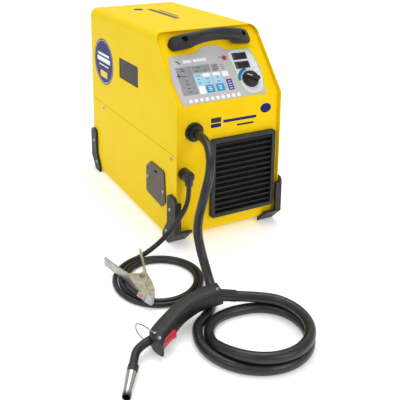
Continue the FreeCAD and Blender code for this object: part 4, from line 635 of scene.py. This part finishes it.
dress(striped("varnished core sheets", "4A4B50", 0.5, 0.6, "Y", 0.0010, 0.0001, "3E3F43", "57585D"),
    "transformer_core")
dress(striped("enamelled copper windings", "8A4A22", 0.32, 0.8, "Z", 0.0018, 0.0004, "743B19", "A05A2C"),
      "transformer_windings", "output_choke")
dress(striped("drawn welding wire", "A9714B", 0.28, 1.0, "X", 0.0009, 0.0003, "99633F", "BC835A"),
    "wire_winding")
dress(striped("extruded aluminium", "B5B8BA", 0.36, 1.0, "Z", 0.0007, 0.00004, "A6A9AB", "C4C7C9"),
      "rectifier", "pressure_arm")
board_green, tree, shader, place = new_finish("solder mask", "1F5B36", 0.3)
tracks = add_node(tree, "ShaderNodeTexVoronoi", {"Vector": place, "Scale": 190.0}, distance="CHEBYCHEV")
track_ramp = add_node(tree, "ShaderNodeValToRGB", {"Fac": tracks.outputs["Distance"]})
track_ramp.color_ramp.interpolation = "CONSTANT"
track_ramp.color_ramp.elements[0].color = linear("C8B27A")
track_ramp.color_ramp.elements[1].color = linear("1F5B36")
track_ramp.color_ramp.elements[1].position = 0.16
tree.links.new(track_ramp.outputs[0], shader.inputs["Base Color"])
grain(tree, shader, place, 0.0008, 0.00002)
dress(board_green, "control_board")
fan_nylon = moulded("moulded fan nylon", "141416", "101012", "1A1A1C")
dress(fan_nylon, "fan_frame", "fan_rotor")

# ---- Wire spool and feeder
# The spool is moulded in dark grey, on a hub with a friction nut. A geared motor drives a knurled roller;
# a sprung arm with a ball-bearing roller presses the wire on it, set by a thumb screw.
spool_moulding = moulded("moulded spool", "3A3C40", "343639", "42454A", 0.4, 0.52)
dress(spool_moulding, "wire_spool", "spool_hub", "spool_nut", "pressure_screw")
motor_paint, tree, shader, place = new_finish("zinc plated motor can", "8B8D8C", 0.34, 1.0)
mottle(tree, shader, place, 0.01, "7B7D7C", "9B9D9C")
patchy_gloss(tree, shader, place, 0.006, 0.28, 0.42)
dress(motor_paint, "feed_motor")
hard_steel = striped("ground roller steel", "A3A5A7", 0.22, 1.0, "X", 0.0006, 0.00003, "93959A", "B4B6B8")
dress(hard_steel, "drive_roller", "pressure_roller")

# ---- Torch hose
# One 17 mm coaxial hose: copper strands, gas tube and liner in a black rubber jacket. It leaves the
# gland straight, drops to the floor and lies in nearly two loose turns, the second resting on the first.
HOSE_WIDE = 0.017
FLOOR = -0.007985


def routed(name, points, wide, body, finish):
    """A cord: one smooth spline through its route's points, round in section."""
    line = bpy.data.curves.new(name, "CURVE")
    line.dimensions = "3D"
    line.resolution_u = 10
    line.bevel_depth = wide / 2
    line.bevel_resolution = 6
    line.use_fill_caps = True
    spline = line.splines.new("NURBS")
    spline.points.add(len(points) - 1)
    for spot, point in zip(points, spline.points):
        point.co = (*spot, 1.0)
    spline.order_u = 3
    spline.use_endpoint_u = True
    cord = bpy.data.objects.new(name, line)
    bpy.context.scene.collection.objects.link(cord)
    line.materials.append(finish)
    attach(cord, body)
    return cord


def between(keys, at):
    """The row of values at 'at', eased between the two nearest rows of 'keys'."""
    for (start, *first), (end, *second) in zip(keys, keys[1:]):
        if at <= end:
            share = (at - start) / (end - start)
            share = share * share * (3 - 2 * share)
            return [a + (b - a) * share for a, b in zip(first, second)]
    return list(keys[-1][1:])


hose_rubber = rubber("rubber hose jacket", "151618", "111214", "1C1D1F")
hose_points = [
    (-0.078, -0.236, 0.225), (-0.078, -0.259, 0.225), (-0.084, -0.293, 0.218), (-0.100, -0.327, 0.193),
    (-0.1215, -0.341, 0.150), (-0.1305, -0.330, 0.090), (-0.128, -0.340, 0.049), (-0.129, -0.366, 0.018),
    (-0.138, -0.402, 0.000515), (-0.155, -0.430, 0.000515), (-0.178, -0.452, 0.000515),
    (-0.203, -0.466, 0.000515),
]
# angle round the coil, long and short half widths, centre and height of the hose's middle
HOSE_LAY = (
    (176, 0.087, 0.078, -0.137, -0.523, 0.000515), (400, 0.087, 0.078, -0.137, -0.523, 0.000515),
    (475, 0.069, 0.060, -0.137, -0.523, 0.000515), (552, 0.069, 0.060, -0.137, -0.523, 0.000515),
    (590, 0.077, 0.068, -0.136, -0.524, 0.0130), (625, 0.082, 0.075, -0.133, -0.526, 0.0178),
    (803, 0.082, 0.075, -0.133, -0.526, 0.0185),
)
turn = 176
while turn < 800:
    wide, deep, centre_x, centre_y, high = between(HOSE_LAY, turn)
    across, along = wide * math.cos(math.radians(turn)), deep * math.sin(math.radians(turn))
    hose_points.append((centre_x + 0.906 * across + 0.424 * along,
        centre_y - 0.424 * across + 0.906 * along, high))
    turn += 19
hose_points += [(-0.1236, -0.4506, 0.0196), (-0.1320, -0.4499, 0.0206)]
torch_hose = routed("torch_hose_run", hose_points, HOSE_WIDE, "machine", hose_rubber)
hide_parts("torch_hose", "torch_hose_coil")

# ---- Earth cable
# A 9.5 mm welding cable of fine copper strands in black rubber. It hangs from its boot, lies in a
# loose ring of two and a third turns and comes up to the clamp's crimped lug.
CABLE_WIDE = 0.0095
cable_rubber = rubber("rubber cable jacket", "141517", "101113", "1B1C1E")
cable_points = [
    (-0.100, -0.245, 0.129), (-0.100, -0.245, 0.108), (-0.1055, -0.247, 0.086), (-0.121, -0.248, 0.064),
    (-0.143, -0.253, 0.046), (-0.162, -0.247, 0.024), (-0.180, -0.241, 0.008),
]
# angle round the ring, its radius and the height of the cable's middle
CABLE_LAY = (
    (91, 0.078, -0.0022), (115, 0.0788, -0.003235), (180, 0.0800, -0.003235), (350, 0.0782, -0.003235),
    (425, 0.0686, -0.003235), (700, 0.0686, -0.003235), (790, 0.0590, -0.003235), (890, 0.0590, -0.003235),
    (918, 0.0650, 0.0028), (934, 0.0725, 0.0078),
)
turn = 92
while turn < 932:
    reach, high = between(CABLE_LAY, turn)
    cable_points.append((
        -0.201 + reach * math.cos(math.radians(turn)), -0.318 + reach * math.sin(math.radians(turn)), high))
    turn += 20
cable_points += [(-0.2600, -0.3590, 0.0088), (-0.2572, -0.3660, 0.0090)]
earth_cable = routed("earth_cable_run", cable_points, CABLE_WIDE, "machine", cable_rubber)
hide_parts("earth_cable", "earth_cable_coil")

# ---- Torch
# Two glass-filled nylon half shells screwed together round the hose, a red trigger, a swan neck in a
# black insulating sleeve, and a nickel-plated copper gas nozzle. A wire hook hangs it up.
TORCH = (Matrix.Translation((-0.152, -0.447, 0.0303)) @ Matrix.Rotation(math.radians(207.1), 4, "Z")
         @ Matrix.Rotation(math.radians(7.5), 4, "Y"))
# back edge and front edge in millimetres along and across the torch, then the half thickness
GRIP_STATIONS = (
    (-8.2, -11.4, 7.6, 11.4, 13.6), (-7.4, -12.4, 8.4, 10.9, 14.5), (0, -17.2, 14.0, 6.8, 14.5),
    (10, -24.2, 22.5, 0.4, 14.5), (22, -30.6, 33.0, -6.4, 14.5), (35, -35.2, 44.5, -11.2, 14.4),
    (48, -38.8, 56.5, -14.3, 14.2), (63, -41.4, 68.5, -16.4, 14.0), (78, -42.8, 80.5, -17.4, 14.0),
    (92, -43.3, 93.0, -16.9, 14.2), (105, -43.2, 106.0, -15.6, 14.5), (116, -42.8, 118.0, -15.0, 14.5),
    (127, -42.0, 129.0, -14.6, 14.5), (136, -40.6, 139.0, -11.2, 14.5), (142, -36.0, 144.5, -7.4, 14.3),
    (145, -31.0, 147.8, -5.4, 13.8), (147, -27.0, 149.4, -6.4, 12.4),
)
# the two shells leave a shallow groove where they meet, as a share of the half thickness
PARTING_DIP = 0.965
rings = []
for back_x, back_y, front_x, front_y, half in GRIP_STATIONS:
    middle = Vector(((back_x + front_x) / 2, (back_y + front_y) / 2, 0))
    reach = Vector(((front_x - back_x) / 2, (front_y - back_y) / 2, 0))
    ring = []
    for a, b in squircle(40, 4.6):
        dip = PARTING_DIP if abs(a) < 0.12 else 1
        ring.append(tuple(middle + reach * b + Vector((0, 0, half * a * dip))))
    rings.append(ring)
grip_mesh = skin("torch_grip", rings, TORCH)
smooth_over(grip_mesh, 42)
grip_moulding = moulded("moulded torch nylon", "1C1D1F", "17181A", "232427", 0.36, 0.5, 0.0008, 0.00005)
torch_grip = add_piece("torch_grip", grip_mesh, "machine", grip_moulding)
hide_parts("torch_handle_upper", "torch_handle_lower")

TRIGGER_OUTLINE = ((109, -20), (109, -9), (112.5, -7.5), (118, -9.5), (126, -10.5), (134, -10),
    (139, -10.5), (145, -12.5), (145.5, -17), (140, -19))
trigger_slab = slabs("torch_trigger_cap", [TRIGGER_OUTLINE], -5.7, 5.7, TORCH)
trigger_blank = bpy.data.objects.new("trigger_blank", trigger_slab)
bpy.context.scene.collection.objects.link(trigger_blank)
soften = trigger_blank.modifiers.new("soften", "BEVEL")
soften.width, soften.segments, soften.limit_method = 0.0016, 3, "ANGLE"
trigger_mesh = finished(trigger_blank)
smooth_over(trigger_mesh, 45)
red_nylon = moulded("moulded red nylon", "A6142C", "981026", "B21C34", 0.28, 0.38, 0.001, 0.00002)
trigger_cap = add_piece("torch_trigger_cap", trigger_mesh, "trigger", red_nylon)
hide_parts("torch_trigger")

# where the screws that join the half shells stand, and how far from the handle's middle plane
SCREW_SPOTS = ((7, 1), (142, -15.5))
SCREW_LEVEL = 14.1
for name, side in (("torch_screws", 1), ("torch_rivets", -1)):
    seats = [tuple(TORCH @ (Vector((x, y, side * SCREW_LEVEL)) / 1000) * 1000) for x, y in SCREW_SPOTS]
    facing = tuple(TORCH.to_3x3() @ Vector((0, 0, side)))
    grow(name, screw_tree, seats, {
        "Radius": 0.0027, "Height": 0.0014, "Facing": facing, "Finish": zinc_plate}, "machine")

neck_sleeve = moulded("insulating neck sleeve", "1F2022", "19191B", "28292B", 0.32, 0.46, 0.0012, 0.00004)
dress(neck_sleeve, "torch_neck")
dress(soft_rubber, "torch_sleeve")
dress(drawn_steel, "torch_hook")
nickel, tree, shader, place = new_finish("nickel plated nozzle", "B9B7B2", 0.22, 1.0)
tip_way = (TORCH.to_3x3() @ Vector((38, 20.6, 0))).normalized()
seat_at = TORCH @ Vector((0.203, -0.0206, 0))
along = add_node(tree, "ShaderNodeVectorMath", {0: place, 1: tuple(tip_way)},
    operation="DOT_PRODUCT").outputs["Value"]
base = seat_at.dot(tip_way)
cloud = add_node(tree, "ShaderNodeTexNoise", {"Vector": place, "Scale": 300.0, "Detail": 3.0})
wander = add_node(tree, "ShaderNodeMath", {0: cloud.outputs["Fac"], 1: 0.006}, operation="MULTIPLY_ADD")
tree.links.new(along, wander.inputs[2])
heat = add_node(tree, "ShaderNodeMapRange", {
    "Value": wander.outputs[0], "From Min": base + 0.036, "From Max": base + 0.046})
scorch = add_node(tree, "ShaderNodeValToRGB", {"Fac": heat.outputs[0]})
scorch.color_ramp.elements[0].color = linear("B9B7B2")
scorch.color_ramp.elements[1].color = linear("3A3734")
tree.links.new(scorch.outputs[0], shader.inputs["Base Color"])
dull = add_node(tree, "ShaderNodeMapRange", {"Value": heat.outputs[0], "To Min": 0.2, "To Max": 0.5})
tree.links.new(dull.outputs[0], shader.inputs["Roughness"])
grain(tree, shader, place, 0.0005, 0.00001)
dress(nickel, "gas_nozzle")

# ---- Earth clamp
# Two pressed steel arms, zinc plated, on a riveted pin with a torsion spring. The cable's copper
# lug is crimped and bolted to the arm that does not move.
CLAMP = Matrix.Translation((-0.238, -0.329, 0.002015)) @ Matrix.Rotation(math.radians(-4.6), 4, "Z")
pressed_zinc, tree, shader, place = new_finish("pressed zinc plate", "B2B4B2", 0.46, 1.0)
mottle(tree, shader, place, 0.01, "A2A4A2", "C2C4C2")
patchy_gloss(tree, shader, place, 0.007, 0.4, 0.52)
grain(tree, shader, place, 0.0012, 0.00003)
dress(pressed_zinc, "clamp_fixed_arm", "clamp_moving_arm")
dress(drawn_steel, "clamp_pivot")
spring_tree, given = new_tree("torsion_spring", (
    ("Seats", "Geometry"), ("Turns", "Float"), ("Radius", "Float"), ("Tall", "Float"), ("Wire", "Float"),
    ("Finish", "Material")))
coil = add_node(spring_tree, "GeometryNodeCurveSpiral", {"Resolution": 28, "Rotations": given["Turns"],
    "Start Radius": given["Radius"], "End Radius": given["Radius"], "Height": given["Tall"]})
section = add_node(spring_tree, "GeometryNodeCurvePrimitiveCircle",
    {"Resolution": 10, "Radius": given["Wire"]})
wound = add_node(spring_tree, "GeometryNodeCurveToMesh", {
    "Curve": coil.outputs[0], "Profile Curve": section.outputs[0], "Fill Caps": True})
springs = add_node(spring_tree, "GeometryNodeInstanceOnPoints", {
    "Points": given["Seats"], "Instance": wound.outputs[0]})
end_tree(spring_tree, springs.outputs[0], given["Finish"])
spring_seat = tuple(CLAMP @ Vector((0, 0, 0.0050)) * 1000)
clamp_spring = grow("clamp_spring", spring_tree, [spring_seat], {
    "Turns": 4.5, "Radius": 0.0067, "Tall": 0.006, "Wire": 0.0006, "Finish": drawn_steel}, "machine")
crimp_copper, tree, shader, place = new_finish("tinned copper lug", "B98F7C", 0.34, 1.0)
mottle(tree, shader, place, 0.003, "A67C69", "CDA894")
grain(tree, shader, place, 0.0006, 0.00002)
lug_way = Vector((0.47, -0.88, 0)).normalized()
lug_side = Vector((-lug_way.y, lug_way.x, 0))
# along the lug, half width and half height of each ring; the middle ones are pressed flatter
LUG_PROFILE = (
    (0.4, 5.7, 5.7), (0.8, 6.0, 6.0), (3.4, 6.0, 6.0), (4.4, 6.2, 5.0), (8.4, 6.2, 5.0), (9.4, 6.0, 6.0),
    (11.0, 6.0, 6.0), (11.4, 5.7, 5.7))
lug_rings = []
for reach, wide, tall in LUG_PROFILE:
    spot = Vector((-18, -35, 7)) + lug_way * reach
    ring = []
    for n in range(28):
        turn = math.pi * n / 14
        ring.append(tuple(spot + lug_side * wide * math.cos(turn) + Vector((0, 0, tall * math.sin(turn)))))
    lug_rings.append(ring)
lug_mesh = skin("cable_lug", lug_rings, CLAMP)
smooth_over(lug_mesh, 35)
cable_lug = add_piece("cable_lug", lug_mesh, "machine", crimp_copper)

# ---- Studio
# A seamless pale floor that gives off a little light, three large softboxes, and a camera above the
# machine to its front left.
FLOOR_HALF = 6.0
floor_mesh = bpy.data.meshes.new("studio_floor")
floor_mesh.from_pydata(
    [(-FLOOR_HALF, -FLOOR_HALF, FLOOR), (FLOOR_HALF, -FLOOR_HALF, FLOOR), (FLOOR_HALF, FLOOR_HALF, FLOOR),
     (-FLOOR_HALF, FLOOR_HALF, FLOOR)], [], [(0, 1, 2, 3)])
studio_floor = bpy.data.objects.new("studio_floor", floor_mesh)
bpy.context.scene.collection.objects.link(studio_floor)
floor_finish, tree, shader, place = new_finish("matt white floor", "FFFFFF", 0.9)
shader.inputs["Specular IOR Level"].default_value = 0.1
mottle(tree, shader, place, 1.5, "FDFDFD", "FFFFFF")
shader.inputs["Emission Color"].default_value = linear("FFFFFF")
shader.inputs["Emission Strength"].default_value = 0.25
floor_mesh.materials.append(floor_finish)


def soft_lamp(name, spot, aim, wide, watts, tint):
    """A square softbox that faces 'aim'."""
    lamp = bpy.data.lights.new(name, "AREA")
    lamp.size = wide
    lamp.energy = watts
    lamp.color = linear(tint)[:3]
    holder = bpy.data.objects.new(name, lamp)
    bpy.context.scene.collection.objects.link(holder)
    holder.location = spot
    holder.rotation_mode = "QUATERNION"
    holder.rotation_quaternion = (Vector(aim) - Vector(spot)).to_track_quat("-Z", "Y")


soft_lamp("key_softbox", (-2.6, -1.2, 2.6), (0, -0.1, 0.2), 1.8, 17, "FFFFFF")
soft_lamp("front_softbox", (0.9, -3.2, 1.7), (0, -0.2, 0.15), 1.6, 28, "FFFFFF")
soft_lamp("top_softbox", (0.3, 0.6, 3.2), (0, 0, 0.2), 2.2, 44, "FFFFFF")
sky = bpy.data.worlds.new("studio_air")
bpy.context.scene.world = sky
sky.use_nodes = True
sky.node_tree.nodes["Background"].inputs["Color"].default_value = linear("FFFFFF")
seen = add_node(sky.node_tree, "ShaderNodeLightPath").outputs["Is Camera Ray"]
glow = add_node(sky.node_tree, "ShaderNodeMapRange", {"Value": seen, "To Min": 0.68, "To Max": 1.0})
sky.node_tree.links.new(glow.outputs["Result"], sky.node_tree.nodes["Background"].inputs["Strength"])
bpy.context.scene.view_settings.view_transform = "Standard"

camera = bpy.data.cameras.new("camera")
camera.lens = 56.2
camera.sensor_width = 36.0
camera.shift_x = 0.125
camera.shift_y = -0.35
camera.clip_start, camera.clip_end = 0.05, 30.0
tripod = bpy.data.objects.new("camera", camera)
bpy.context.scene.collection.objects.link(tripod)
right = (0.90569, -0.42388, -0.0078)
down = (-0.1053, -0.20709, -0.97264)
forward = (0.41066, 0.88173, -0.2322)
tripod.matrix_world = Matrix((
    (right[0], -down[0], -forward[0], -0.6351), (right[1], -down[1], -forward[1], -1.2214),
    (right[2], -down[2], -forward[2], 0.6404), (0, 0, 0, 1)))
bpy.context.scene.camera = tripod
